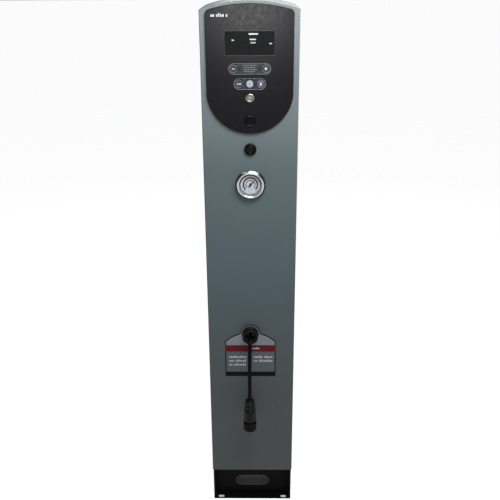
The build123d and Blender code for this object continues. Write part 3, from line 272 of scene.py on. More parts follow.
def smooth_profile(corners, steps=6, tension=0.5):
    """A finer outline through the corners: each point is a Catmull-Rom blend of its four neighbours."""
    corners = np.asarray(corners, float)
    padded = np.vstack([2 * corners[0] - corners[1], corners, 2 * corners[-1] - corners[-2]])
    t = np.linspace(0, 1, steps, endpoint=False)[:, None]
    spans = []
    for p0, p1, p2, p3 in zip(padded, padded[1:], padded[2:], padded[3:]):
        square = tension * (2 * p0 + p1 - 2 * p2 - p3) + 3 * (p2 - p1)
        cube = tension * (p2 - p0 + p3 - p1) - 2 * (p2 - p1)
        spans.append(p1 + t * tension * (p2 - p0) + t ** 2 * square + t ** 3 * cube)
    return np.vstack(spans + [corners[-1:]])


def turned(profile, centre, axis, steps=72, wave=None):
    """A (radius, distance) outline turned about an axis through centre: radius times the cosine and sine of
    the angle, at each distance. wave(angle, distance) scales the radius."""
    profile = np.asarray(profile, float)
    angle = np.linspace(0, 2 * math.pi, steps, endpoint=False)
    radius = profile[:, :1] * np.ones((1, steps))
    along = profile[:, 1:] * np.ones((1, steps))
    if wave is not None:
        radius = radius * wave(angle[None, :], along)
    side, up = radius * np.cos(angle), radius * np.sin(angle)
    if axis == "Y":
        points = np.stack([centre[0] + side, along, centre[1] + up], axis=-1)
    else:
        points = np.stack([centre[0] + side, centre[1] + up, along], axis=-1)
    return points.reshape(-1, 3), grid_faces(len(profile), steps)


def middle(node):
    low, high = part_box(node)
    return [(a + b) / 2 for a, b in zip(low, high)]


boot_low, boot_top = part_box("coupler_boot")[0][2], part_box("coupler_boot")[1][2]
coupler_axis = middle("coupler_boot")[:2]
HOSE_BORE, CORE_BORE, SKIRT_BORE, SKIRT_R = 0.0051, 0.0121, 0.0150, 0.0170
FIRST_RING_DROP, RING_PITCH, FIRST_RING_R, RING_GROWTH = 0.0070, 0.0114, 0.0120, 0.0013
rings = []
for ring in range(3):
    ring_top = boot_top - FIRST_RING_DROP - RING_PITCH * ring
    r = FIRST_RING_R + RING_GROWTH * ring
    rings += [(r - 0.0012, ring_top), (r - 0.0002, ring_top - 0.0006), (r + 0.0010, ring_top - 0.0016),
              (r + 0.0011, ring_top - 0.0032), (r + 0.0002, ring_top - 0.0046),
              (r - 0.0002, ring_top - 0.0080)]
boot_outline = [(HOSE_BORE, boot_top - 0.004), (HOSE_BORE + 0.0002, boot_top - 0.0006), (0.0066, boot_top),
                (0.0100, boot_top - 0.0012), (0.0112, boot_top - 0.0034)] + rings
boot_outline += [(0.0156, boot_top - 0.037), (0.0163, boot_top - 0.054), (SKIRT_R, boot_low + 0.004),
                 (SKIRT_R - 0.0003, boot_low + 0.0010), (SKIRT_R - 0.0012, boot_low), (SKIRT_BORE, boot_low)]
boot_inside = [(SKIRT_BORE, boot_low + 0.0105), (CORE_BORE, boot_low + 0.0105), (CORE_BORE, boot_low + 0.024),
               (HOSE_BORE, boot_low + 0.024), (HOSE_BORE, boot_top - 0.004)]
boot_skin = np.vstack([smooth_profile(boot_outline, 4), boot_inside])
boot_rubber = rubber("boot_rubber", BLACK, 0.36, 1300.0, 0.00008, Specular_IOR_Level=0.12)
boot = finish_mesh("boot", *turned(boot_skin, coupler_axis, "Z", 80), boot_rubber, "housing")
replacing("coupler_boot")

sleeve_low, sleeve_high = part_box("coupler_sleeve")[0][2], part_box("coupler_sleeve")[1][2]
FLUTES, SLEEVE_R, SLEEVE_NECK_R = 10, 0.0185, 0.0145
collar = sleeve_high - 0.010


def flutes(angle, height):
    """Ten rounded hollows down the sleeve, fading out before its plain upper collar."""
    hollow = np.clip(np.cos(FLUTES * angle) - 0.25, 0, 1) / 0.75
    fade = np.clip((collar - 0.005 - height) / 0.004, 0, 1)
    return 1 - 0.11 * hollow ** 1.3 * fade


def moulded(name, colour, roughness=0.45, grain=2600.0, depth=0.00003, tone=1.18, **constants):
    """Injection-moulded plastic: a fine spark-eroded grain and slightly uneven gloss."""
    plastic = Finish(name, colour, roughness, **constants)
    plastic.tint(plastic.noise(60.0) * 1.5 - 0.35, shade(colour, tone))
    plastic.feed("Roughness", plastic.noise(140.0) * 0.14 + (roughness - 0.07))
    plastic.bump(plastic.noise(grain, 1.0), depth, 0.5)
    return plastic.material


sleeve_outline = [(CORE_BORE, sleeve_low + 0.0008), (0.0150, sleeve_low),
                  (SLEEVE_R - 0.0018, sleeve_low + 0.0003), (SLEEVE_R - 0.0005, sleeve_low + 0.0012)]
sleeve_outline += [(SLEEVE_R, row) for row in np.linspace(sleeve_low + 0.0024, collar - 0.0024, 22)]
sleeve_outline += [(SLEEVE_R - 0.0005, collar - 0.0011), (SLEEVE_R - 0.0018, collar - 0.0003),
                   (0.0158, collar), (SLEEVE_NECK_R, collar), (SLEEVE_NECK_R, sleeve_high),
                   (CORE_BORE, sleeve_high), (CORE_BORE, sleeve_low + 0.0008)]
sleeve_black = moulded("sleeve_black", BLACK, 0.36, 1800.0, 0.00005, Specular_IOR_Level=0.05)
sleeve_shape = turned(sleeve_outline, coupler_axis, "Z", 120, flutes)
sleeve = finish_mesh("release_sleeve_grip", *sleeve_shape, sleeve_black, "release_sleeve", 40)
replacing("coupler_sleeve")


def paint_node(names, material):
    """Gives CAD nodes their finish."""
    for name in names:
        for slot in cad_nodes[name].material_slots:
            slot.material = material


def brushed(name, colour, roughness=0.32, grain=(40.0, 2200.0, 2200.0), depth=0.00002):
    """Metal with fine lines along one direction, as rolled, drawn or turned stock has."""
    metal = Finish(name, colour, roughness, Metallic=1.0)
    lines = metal.noise(1.0, 2.0, grain)
    metal.tint(lines * 1.4 - 0.2, shade(colour, 0.72))
    metal.feed("Roughness", lines * 0.22 + (roughness - 0.1))
    metal.bump(lines, depth, 0.5)
    return metal.material


paint_node(["coupler_body"], brushed("coupler_steel", (0.50, 0.50, 0.50), 0.3, (2200.0, 2200.0, 60.0)))


# ------------------------------------------------------------------ column, top and door
# Folded sheet steel with welded top, and a hung rear door, all in one grey-green powder coat. Painted light
# makes it lighter towards the top; low down it is a little more neutral.
TONES_TOP = 1.5


def powder_coat(name, tones, roughness=0.46, grain=1400.0, depth=0.00006, **constants):
    """Baked powder paint: a fine orange peel, faint clouds in tone and gloss; tones are colours by height."""
    paint = Finish(name, tones[-1][1], roughness, **constants)
    clouds = paint.noise(7.0, 3.0)
    stops = [(height / TONES_TOP, tone) for height, tone in tones]
    ground = paint.ramp(paint.coordinate("Z") / TONES_TOP, stops)
    mottled = paint.blend((clouds * 1.6 - 0.4).clip(), ground, paint.lighter(ground, 1.10))
    paint.feed("Base Color", mottled)
    paint.feed("Roughness", clouds * 0.12 + (roughness - 0.06))
    paint.bump(paint.noise(grain), depth, 0.6)
    return paint.material


# Painted light: these tones by height lighten the column's paint towards its top.
column_tones_painted_light = [(0.10, (0.045, 0.050, 0.049)), (0.40, (0.043, 0.049, 0.050)), (0.75, (0.043, 0.063, 0.072)),
                (1.05, (0.051, 0.071, 0.076)), (1.40, (0.100, 0.111, 0.112))]
column_paint = powder_coat("column_paint", column_tones_painted_light, 0.48, Specular_IOR_Level=0.2)
paint_node(["column_shell", "top_cover", "rear_door"], column_paint)
paint_node(["door_seal"], rubber("seal_foam", (0.02, 0.02, 0.02), 0.8, 700.0, 0.0004))
paint_node(["hinge_leaves_column", "hinge_leaves_door"], brushed("hinge_zinc", (0.42, 0.43, 0.43), 0.36))


# ------------------------------------------------------------------ base
# Welded black base: two cross walls with oblong cable openings and slotted floor flanges, two side plates.
# The hidden plates, bolts and nuts are zinc plated.
def zinc_plated(name, colour):
    """Passivated zinc: bright grey with soft blue and yellow clouds and a dull bloom."""
    zinc = Finish(name, colour, 0.38, Metallic=1.0)
    zinc.tint((zinc.noise(22.0, 4.0) * 2.4 - 0.8).clip(), (0.62, 0.58, 0.44))
    zinc.feed("Roughness", zinc.noise(90.0, 3.0) * 0.25 + 0.28)
    zinc.bump(zinc.noise(1800.0), 0.00002, 0.4)
    return zinc.material


base_tones = [(0.0, (0.0026, 0.0027, 0.0029)), (0.1, (0.0034, 0.0035, 0.0038))]
base_paint = powder_coat("base_paint", base_tones, 0.5, 1100.0, 0.00009, Specular_IOR_Level=0.04)
paint_node(["base_brackets", "base_side_plates"], base_paint)
paint_node(["bottom_plate", "base_bolts", "ring_nuts", "mounting_plate", "gauge_clamp"],
           zinc_plated("zinc_steel", (0.60, 0.61, 0.62)))

# ------------------------------------------------------------------ control panel
# One moulded cover in dark semi-gloss plastic. The prints on it are thin layers of grey ink: two capsule
# outlines round the keys, slanting dividers, and rows of plain blocks where such a panel has wording.
PANEL_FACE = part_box("control_panel")[0][1]
panel_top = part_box("control_panel")[1][2]
INK_PROUD, INK_SINK = 0.00008, 0.00004
panel_gloss = moulded("panel_gloss", (0.0028, 0.0026, 0.0034), 0.22, 2400.0, 0.00002, 1.12,
                      Specular_IOR_Level=0.10)
paint_node(["control_panel"], panel_gloss)


def ink(name, colour, speckle=900.0, shine=0.2):
    """Screen print: an even colour with a fine speckle."""
    print_ink = Finish(name, colour, 0.5, Specular_IOR_Level=shine)
    print_ink.tint((print_ink.noise(speckle) * 1.6 - 0.3).clip(), shade(colour, 0.80))
    return print_ink.material


ink_dim = ink("ink_dim", (0.085, 0.088, 0.094))
ink_grey = ink("ink_grey", (0.13, 0.14, 0.145))
ink_pale = ink("ink_pale", (0.36, 0.38, 0.41))


def slab(outline, front, back):
    """Points and faces of a flat plate: an outline in X and Z, between two depths."""
    outline = np.asarray(outline, float)
    count = len(outline)
    sheets = [np.column_stack([outline[:, 0], np.full(count, y), outline[:, 1]]) for y in (front, back)]
    faces = [list(range(count)), list(range(2 * count - 1, count - 1, -1))]
    faces += [[i, (i + 1) % count, count + (i + 1) % count, count + i] for i in range(count)]
    return np.vstack(sheets), faces


def sideways(path, closed):
    """Unit vectors across a path in X and Z, to its left."""
    ahead = np.roll(path, -1, axis=0) - np.roll(path, 1, axis=0) if closed else np.gradient(path, axis=0)
    ahead /= np.linalg.norm(ahead, axis=1, keepdims=True)
    return np.column_stack([-ahead[:, 1], ahead[:, 0]])


def band(path, width, front, back, closed=False):
    """A flat ribbon along a path in X and Z between two depths; width is one number or one for each point."""
    path = np.asarray(path, float)
    count = len(path)
    side = sideways(path, closed) * np.broadcast_to(width, count)[:, None] / 2
    inner, outer = path - side, path + side
    section = [(inner, front), (outer, front), (outer, back), (inner, back)]
    points = np.stack([np.column_stack([p[:, 0], np.full(count, y), p[:, 1]]) for p, y in section], axis=1)
    faces = []
    for i in range(count if closed else count - 1):
        j = (i + 1) % count
        faces += [[4 * i + k, 4 * i + (k + 1) % 4, 4 * j + (k + 1) % 4, 4 * j + k] for k in range(4)]
    if not closed:
        faces += [[0, 1, 2, 3], [4 * count - 1, 4 * count - 2, 4 * count - 3, 4 * count - 4]]
    return points.reshape(-1, 3), faces


def joined(shapes):
    """Several (points, faces) shapes as one."""
    points, faces, offset = [], [], 0
    for shape_points, shape_faces in shapes:
        points.append(shape_points)
        faces += [[index + offset for index in face] for face in shape_faces]
        offset += len(shape_points)
    return np.vstack(points), faces


def printed(name, outlines, face, material, body="housing", levels=1):
    """Flat shapes of ink on a face: one piece, a hair proud of it."""
    shapes = [slab(outline, face - levels * INK_PROUD, face + INK_SINK) for outline in outlines]
    return finish_mesh(name, *joined(shapes), material, body)


def arc(centre, radius, start, end, steps=24):
    """Points on a circle arc in X and Z, angles in degrees from +X towards +Z."""
    angle = np.radians(np.linspace(start, end, steps))
    return np.column_stack([centre[0] + radius * np.cos(angle), centre[1] + radius * np.sin(angle)])


def capsule(x, z, half_length, half_height):
    """A closed outline with straight long sides and round ends."""
    right = arc((x + half_length - half_height, z), half_height, -90, 90)
    left = arc((x - half_length + half_height, z), half_height, 90, 270)
    return np.vstack([right, left])


BLOCK_WIDTH, LOW_BLOCK, WORD_GAP = 0.66, 0.68, 0.75


def greeked(x, z, words, height, pitch):
    """Plain blocks in place of wording: each word is so many blocks from x, every fourth one taller."""
    shapes = []
    for word, count in enumerate(words):
        for i in range(count):
            top = height * (1.0 if (3 * i + 2 * word) % 4 == 1 else LOW_BLOCK)
            right = x + BLOCK_WIDTH * pitch
            shapes.append([(x, z), (right, z), (right, z + top), (x, z + top)])
            x += pitch
        x += WORD_GAP * pitch
    return shapes


def line_on_panel(path, width, closed=False):
    return band(path, width, PANEL_FACE - INK_PROUD, PANEL_FACE + INK_SINK, closed)


KEY_NAMES = ["key_minus", "key_plus", "key_zero", "key_start", "key_mode"]
key_place = {name: (middle(name)[0], middle(name)[2]) for name in KEY_NAMES}
high_z, low_z = key_place["key_minus"][1], key_place["key_start"][1]
HIGH_CAPSULE, LOW_CAPSULE = (0.0509, 0.0124), (0.0387, 0.0128)
LINE, FIELD_INSET, KEY_CLEAR, FIELD_GAP = 0.0010, 0.001, 0.0087, 0.0002


def field_strips(z, half_length, half_height, keys):
    """A capsule cut into strips beside its keys. Its half height falls off at the round ends as the root of
    the radius squared less the square of the distance past the straight part."""
    edges = [-half_length + FIELD_INSET, half_length - FIELD_INSET]
    edges += [key_place[key][0] + side * KEY_CLEAR for key in keys for side in (-1, 1)]
    edges.sort()
    strips = []
    for left, right in zip(edges[::2], edges[1::2]):
        across = np.linspace(left, right, 12)
        beyond = np.clip(np.abs(across) - (half_length - half_height), 0, None)
        tall = np.sqrt(np.clip((half_height - FIELD_GAP) ** 2 - beyond ** 2, 1e-9, None))
        foot, top = np.column_stack([across, z - tall]), np.column_stack([across, z + tall])
        strips.append(np.vstack([foot, top[::-1]]))
    return strips


def key_field(name, z, capsule_size, tone, keys):
    """The tinted field round one row of keys, and the line about it, a little wider at its foot as painted
    light.
    """
    fill = Finish(name + "_ink", tone, 0.5, Specular_IOR_Level=0.2)
    fill.tint((fill.noise(500.0) * 1.4 - 0.2).clip(), shade(tone, 1.3))
    printed(name, field_strips(z, *capsule_size, keys), PANEL_FACE, fill.material)
    path = capsule(0, z, *capsule_size)
    # Painted light: the pale line widens towards the capsule's foot.
    downward = np.clip((z - path[:, 1]) / capsule_size[1], -1, 1)
    outline = line_on_panel(path, LINE * (1.0 + 0.25 * downward), True)
    finish_mesh(name + "_line", *outline, ink_grey, "housing")


key_field("key_field_high", high_z, HIGH_CAPSULE, (0.0125, 0.0135, 0.0165), KEY_NAMES[:2])
key_field("key_field_low", low_z, LOW_CAPSULE, (0.0115, 0.0130, 0.0200), KEY_NAMES[2:])

DIVIDER, KEY_RING, KEY_RING_R = 0.0012, 0.0009, 0.0092
dividers = []
for side in (-1, 1):
    high_path = [(side * 0.0315, high_z + 0.0085), (side * 0.0195, high_z - 0.0055)]
    low_path = [(side * 0.0178, low_z + 0.0085), (side * 0.0105, low_z - 0.0075)]
    dividers += [line_on_panel(high_path, DIVIDER), line_on_panel(low_path, DIVIDER)]
for name in KEY_NAMES:
    dividers.append(line_on_panel(arc(key_place[name], KEY_RING_R, 0, 360, 49)[:-1], KEY_RING, True))
finish_mesh("panel_dividers", *joined(dividers), ink("ink_middle", (0.13, 0.14, 0.15)), "housing")

LETTER_H, LETTER_PITCH = 0.0026, 0.00165
PANEL_ROWS = [(-0.0170, 0.0072, (3, 6, 4, 5)), (-0.0135, 0.0022, (4, 2, 6, 2)),
              (-0.0165, -0.0028, (2, 7, 4, 5)), (-0.0135, -0.0078, (5, 2, 4, 3))]
wording = []
for row_start, rise, row_words in PANEL_ROWS:
    wording += greeked(row_start, high_z + rise, row_words, LETTER_H, LETTER_PITCH)
printed("panel_wording_blocks", wording, PANEL_FACE, ink_grey, levels=2)
mark = greeked(-0.0915, panel_top - 0.0300, (2, 4, 1), 0.0082, 0.0048)
printed("panel_mark_blocks", mark, PANEL_FACE, ink_pale)

# ------------------------------------------------------------------ display
# A tinted glossy window set flush in the panel, with a thin bevel, and the digit block behind it. Five small
# lamps far in front show in its gloss.
window_low, window_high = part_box("display_window")
window_gloss = Finish("window_gloss", (0.0020, 0.0022, 0.0024), 0.01, Specular_IOR_Level=0.16)
window_gloss.tint(window_gloss.noise(35.0), (0.0045, 0.0048, 0.0050))
paint_node(["display_window"], window_gloss.material)
paint_node(["display_module", "button_contact_block"], moulded("display_black", (0.015, 0.015, 0.017), 0.6))
bevel_path = [(window_low[0], window_low[2]), (window_high[0], window_low[2]),
              (window_high[0], window_high[2]), (window_low[0], window_high[2])]
bevel = band(bevel_path, 0.0007, PANEL_FACE - 0.0001, PANEL_FACE + 0.0002, True)
bevel_grey = moulded("bevel_grey", (0.045, 0.045, 0.050), 0.4, Specular_IOR_Level=0.15)
finish_mesh("window_bevel", *bevel, bevel_grey, "housing")
TUBES = [("tube_a", 0.009, 0.0070, 0.022, 90.0), ("tube_b", 0.0075, 0.0195, 0.015, 70.0),
         ("tube_c", 0.008, 0.0270, 0.012, 55.0), ("tube_d", -0.0400, 0.0210, 0.006, 60.0),
         ("tube_e", 0.0500, 0.0290, 0.006, 60.0)]
TUBE_DISTANCE, TUBE_THICK = 4.0, 0.0028
mirrored_eye = Vector((EYE_PLACE.x, 2 * PANEL_FACE - EYE_PLACE.y, EYE_PLACE.z))
for name, x, drop, width, glow in TUBES:
    seen = Vector((x, PANEL_FACE, window_high[2] - drop))
    reach = (PANEL_FACE - TUBE_DISTANCE - mirrored_eye.y) / (seen.y - mirrored_eye.y)
    tube_place = mirrored_eye + (seen - mirrored_eye) * reach
    lamp(name, tube_place, seen, width * reach, TUBE_THICK * reach, glow)

# ------------------------------------------------------------------ keys
# Five short-stroke keys. Dark caps with a pale printed sign, and one pale blue-grey cap for start.
key_black = moulded("key_black", (0.014, 0.016, 0.024), 0.42, 2400.0, 0.00002, Specular_IOR_Level=0.25)
key_pale = moulded("key_pale", (0.165, 0.200, 0.235), 0.42, 2400.0, 0.00002, 1.06)
key_blue = moulded("key_blue", (0.026, 0.031, 0.048), 0.42, 2400.0, 0.00002)
paint_node(["key_minus", "key_plus", "key_zero"], key_black)
paint_node(["key_mode"], key_blue)
paint_node(["key_start"], key_pale)
KEY_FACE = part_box("key_start")[0][1]


def box_outline(x, z, width, height):
    return [(x - width / 2, z - height / 2), (x + width / 2, z - height / 2),
            (x + width / 2, z + height / 2), (x - width / 2, z + height / 2)]


x, z = key_place["key_minus"]
printed("minus_sign", [box_outline(x, z, 0.0066, 0.0019)], KEY_FACE, ink_pale, "key_minus")
x, z = key_place["key_plus"]
arm, bar = 0.0033, 0.00095
plus = [(arm, -bar), (arm, bar), (bar, bar), (bar, arm), (-bar, arm), (-bar, bar), (-arm, bar), (-arm, -bar),
        (-bar, -bar), (-bar, -arm), (bar, -arm), (bar, -bar)]
printed("plus_sign", [[(x + a, z + b) for a, b in plus]], KEY_FACE, ink_pale, "key_plus")
x, z = key_place["key_zero"]
zero_shapes = [capsule(x - 0.0034, z, 0.0018, 0.0013), capsule(x + 0.0025, z, 0.0029, 0.0013)]
printed("zero_sign", zero_shapes, KEY_FACE, ink_pale, "key_zero")
x, z = key_place["key_mode"]
drop = np.vstack([arc((x, z - 0.0012), 0.0024, 150, 390, 20), [(x, z + 0.0052)]])
printed("drop_sign", [drop], KEY_FACE, ink_pale, "key_mode")
x, z = key_place["key_start"]
start_lines = [box_outline(x, z + 0.0019 * step, 0.0062 - 0.0012 * abs(step), 0.0008) for step in (-1, 0, 1)]
printed("start_sign", start_lines, KEY_FACE, ink_dim, "key_start")

# ------------------------------------------------------------------ key lock and badge
# A chromed cam lock in the panel: a rolled head with a groove round the turning plug, its dark painted shade
# from a flat ring laid in the gap. Below it sits a round gloss badge with two thin arcs.
lock_chrome = brushed("lock_chrome", (0.30, 0.295, 0.255), 0.16, (900.0, 900.0, 900.0), 0.00001)
paint_node(["key_lock_body", "key_lock_plug", "door_lock_body", "door_lock_plug"], lock_chrome)
lock_x, lock_z = middle("key_lock_plug")[0], middle("key_lock_body")[2]
lock_low, lock_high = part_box("key_lock_body")
lock_front = lock_low[1]
LOCK_R, GROOVE_R, PLUG_R = (lock_high[0] - lock_low[0]) / 2, 0.0066, 0.0051
head_bore, head_foot = GROOVE_R + 0.0002, PANEL_FACE - 0.00002
head_corners = [(head_bore, lock_front + 0.0012), (GROOVE_R + 0.0006, lock_front - 0.0001),
                (0.0078, lock_front - 0.0008), (0.0093, lock_front - 0.0007),
                (LOCK_R - 0.0006, lock_front + 0.0003), (LOCK_R, lock_front + 0.0016), (LOCK_R, head_foot)]
head_inside = [(head_bore, head_foot), (head_bore, lock_front + 0.0012)]
head_skin = np.vstack([smooth_profile(head_corners, 5), head_inside])
finish_mesh("lock_head", *turned(head_skin, (lock_x, lock_z), "Y", 96), lock_chrome, "housing")
# Painted shade: a flat dark ring closes the gap between head and plug.
groove_path = arc((lock_x, lock_z), (GROOVE_R + PLUG_R) / 2, 0, 360, 65)[:-1]
groove = band(groove_path, GROOVE_R - PLUG_R, lock_front - 0.00006, lock_front + 0.0001, True)
groove_painted_shade = Finish("groove_painted_shade", (0.004, 0.004, 0.004), 0.6)
groove_painted_shade.tint(groove_painted_shade.noise(600.0), (0.008, 0.007, 0.006))
finish_mesh("lock_groove", *groove, groove_painted_shade.material, "housing")
badge_gloss = moulded("badge_gloss", (0.0014, 0.0013, 0.0015), 0.2, 1500.0, 0.00001, Specular_IOR_Level=0.06)
paint_node(["round_badge"], badge_gloss)
badge_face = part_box("round_badge")[0][1]
badge_centre = (middle("round_badge")[0], middle("round_badge")[2])
badge_arcs = [band(arc(badge_centre, 0.0118, *ends), 0.0006, badge_face - INK_PROUD, badge_face + INK_SINK)
              for ends in ((58, 122), (238, 302))]
finish_mesh("badge_arcs", *joined(badge_arcs), ink_dim, "housing")

# ------------------------------------------------------------------ push button
# A black push button: fixed ring with a rolled edge, dished cap that travels in it.
button_centre = (middle("button_collar")[0], middle("button_collar")[2])
ring_front, ring_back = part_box("button_collar")[0][1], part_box("control_panel")[1][1]
button_black = moulded("button_black", (0.0018, 0.0018, 0.0020), 0.24, 2000.0, 0.00002, 1.3,
                       Specular_IOR_Level=0.10)
paint_node(["button_cap", "button_collar"], button_black)
RING_BORE, RING_R = 0.0122, 0.0156
ring_outline = smooth_profile([(RING_BORE, ring_front + 0.0030), (RING_BORE, ring_front + 0.0008),
                               (0.0127, ring_front - 0.0001), (0.0136, ring_front - 0.0004),
                               (0.0148, ring_front + 0.0004), (0.0155, ring_front + 0.0018),
                               (RING_R, ring_front + 0.0040), (RING_R, ring_back - 0.0001)], 5)
ring_skin = np.vstack([ring_outline, [(RING_BORE, ring_back - 0.0001), (RING_BORE, ring_front + 0.0030)]])
finish_mesh("button_ring", *turned(ring_skin, button_centre, "Y", 96), button_black, "housing")
cap_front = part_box("button_cap")[0][1]
CAP_R = 0.0117
cap_back = cap_front + 0.0030
cap_corners = [(0.0, cap_front + 0.0006), (0.0012, cap_front + 0.0006), (0.0022, cap_front + 0.0002),
               (0.0060, cap_front), (0.0082, cap_front - 0.0007), (0.0096, cap_front - 0.0008),
               (0.0108, cap_front + 0.0004), (CAP_R - 0.0001, cap_front + 0.0020), (CAP_R, cap_back)]
cap_skin = np.vstack([smooth_profile(cap_corners, 6), [(0.0, cap_back)]])
finish_mesh("button_cap_face", *turned(cap_skin, button_centre, "Y", 96), button_black, "push_button")
paint_node(["button_spring"], brushed("spring_steel", (0.55, 0.55, 0.55), 0.25, (600.0, 600.0, 600.0)))
paint_node(["plunger_inflate", "plunger_deflate"],
           brushed("plunger_steel", (0.55, 0.55, 0.54), 0.25, (2000.0, 2000.0, 40.0)))

# ------------------------------------------------------------------ pressure gauge
# A 63 mm panel gauge: a polished front ring in a rolled rim, flat clear lens, printed dial and pointer. The
# rim's
# colour is painted reflection: black where it mirrors dark, bare chrome at its very top where it mirrors the
# lamp.
gauge_x, gauge_z = middle("gauge_bezel")[0], middle("gauge_bezel")[2]
gauge_centre = (gauge_x, gauge_z)
bezel_front, bezel_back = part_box("gauge_bezel")[0][1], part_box("gauge_bezel")[1][1]
lens_front, dial_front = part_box("gauge_lens")[0][1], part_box("gauge_dial")[0][1]
RIM_R, SILVER_R, CASE_R, OPENING_R = 0.0385, 0.0346, 0.0316, 0.0287
rim_foot = bezel_back - 0.0001
rim_corners = [(OPENING_R, lens_front), (OPENING_R, bezel_front + 0.0028), (0.0291, bezel_front + 0.0016),
               (0.0303, bezel_front + 0.0003), (0.0320, bezel_front), (0.0336, bezel_front + 0.0005),
               (SILVER_R, bezel_front + 0.0013), (0.0354, bezel_front + 0.0014),
               (0.0370, bezel_front + 0.0021), (0.0381, bezel_front + 0.0038),
               (RIM_R, bezel_front + 0.0062), (RIM_R - 0.0004, bezel_back - 0.0034),
               (RIM_R - 0.0020, rim_foot)]
rim_inside = [(CASE_R, rim_foot), (CASE_R, lens_front), (OPENING_R, lens_front)]
bezel_skin = np.vstack([smooth_profile(rim_corners, 6), rim_inside])
# Painted reflection: outside the silver ring the rim is coloured black where its chrome would mirror dark, and
# left bare chrome only along its top, where it mirrors the lamp.
CHROME, DARK_REFLECTION_BLACK, DARK_RIM_EDGE = (0.52, 0.56, 0.56), (0.003, 0.004, 0.0045), 0.0003
TOP_SHEEN_HEIGHT, TOP_SHEEN_FADE = 0.0355, 0.0060
gauge_chrome = Finish("gauge_chrome", CHROME, 0.14, Specular_IOR_Level=0.12)
beside, above = [gauge_chrome.coordinate(axis) - centre for axis, centre in zip("XZ", gauge_centre)]
radius = (beside * beside + above * above).root()
below_top_sheen = ((TOP_SHEEN_HEIGHT - above) / TOP_SHEEN_FADE).clip()
painted_dark_reflection = ((radius - SILVER_R) / DARK_RIM_EDGE).clip() * below_top_sheen
gauge_chrome.feed("Base Color", gauge_chrome.blend(painted_dark_reflection, CHROME, DARK_REFLECTION_BLACK))
gauge_chrome.feed("Metallic", 1.0 - painted_dark_reflection)
gauge_chrome.feed("Roughness", gauge_chrome.noise(60.0) * 0.08 + 0.15 + painted_dark_reflection * 0.10)
bezel_shape = turned(bezel_skin, gauge_centre, "Y", 160)
bezel = finish_mesh("bezel_ring", *bezel_shape, gauge_chrome.material, "housing", 50)
replacing("gauge_bezel")
paint_node(["gauge_case"], moulded("gauge_black", (0.02, 0.02, 0.02), 0.4))
lens_glass = Finish("gauge_glass", (0.03, 0.035, 0.04), 0.03, Alpha=0.06, Specular_IOR_Level=0.3)
lens_glass.feed("Roughness", lens_glass.noise(80.0) * 0.03 + 0.015)
lens_glass.material.surface_render_method = "BLENDED"
paint_node(["gauge_lens"], lens_glass.material)

dial_white = Finish("dial_white", (0.41, 0.415, 0.445), 0.5, Specular_IOR_Level=0.1)
dial_white.tint(dial_white.noise(500.0), (0.37, 0.375, 0.415))
# The dial ink also gives the painted shadow under the bezel.
dial_ink_and_shadow = ink("dial_ink_and_shadow", (0.006, 0.004, 0.010), 700.0, 0.05)
dial_grey = ink("dial_grey", (0.085, 0.080, 0.105), 700.0, 0.05)
dial_rose = ink("dial_rose", (0.10, 0.010, 0.024), 700.0, 0.05)
dial_blue = ink("dial_blue", (0.40, 0.48, 0.57), 700.0)
paint_node(["gauge_dial"], dial_white.material)


def dial_angle(value):
    """Degrees from +X for a reading: 0 at the lower left, 16 at the lower right."""
    return 225 - 270 * value / 16


def dial_arc(radius, width, start, end, steps=96, lift=1):
    path = arc(gauge_centre, radius, dial_angle(start), dial_angle(end), steps)
    return band(path, width, dial_front - lift * INK_PROUD, dial_front + INK_SINK)


def tick(value, inner, outer, width):
    """A radial mark on the dial, as a four-cornered outline."""
    angle = math.radians(dial_angle(value))
    ahead = np.array([math.cos(angle), math.sin(angle)])
    side = np.array([-ahead[1], ahead[0]]) * width / 2
    centre = np.array(gauge_centre)
    return [centre + ahead * inner - side, centre + ahead * outer - side,
            centre + ahead * outer + side, centre + ahead * inner + side]


sector = np.vstack([[(gauge_x, gauge_z - 0.0045)], arc(gauge_centre, 0.0200, 228, 312, 32)])
printed("dial_sector", [sector], dial_front, dial_blue)
scale_arcs = [dial_arc(0.0178, 0.0034, 0, 16, lift=2), dial_arc(0.0116, 0.0019, 0.4, 15.6, lift=2)]
finish_mesh("dial_scale", *joined(scale_arcs), dial_ink_and_shadow, "housing")
finish_mesh("dial_red_arc", *dial_arc(0.0181, 0.0016, 10.5, 14.5, lift=3), dial_rose, "housing")
ticks = [tick(value / 2, 0.0193, 0.0206 + (0.0008 if value % 4 == 0 else 0), 0.0005) for value in range(33)]
DOTS, DOT_R = [(0, -0.0085), (-0.004, -0.0137), (0.004, -0.0137)], 0.0012
dots = [arc((gauge_x + dx, gauge_z + dz), DOT_R, 0, 350, 14) for dx, dz in DOTS]
printed("dial_ticks", ticks + dots, dial_front, dial_grey, levels=2)
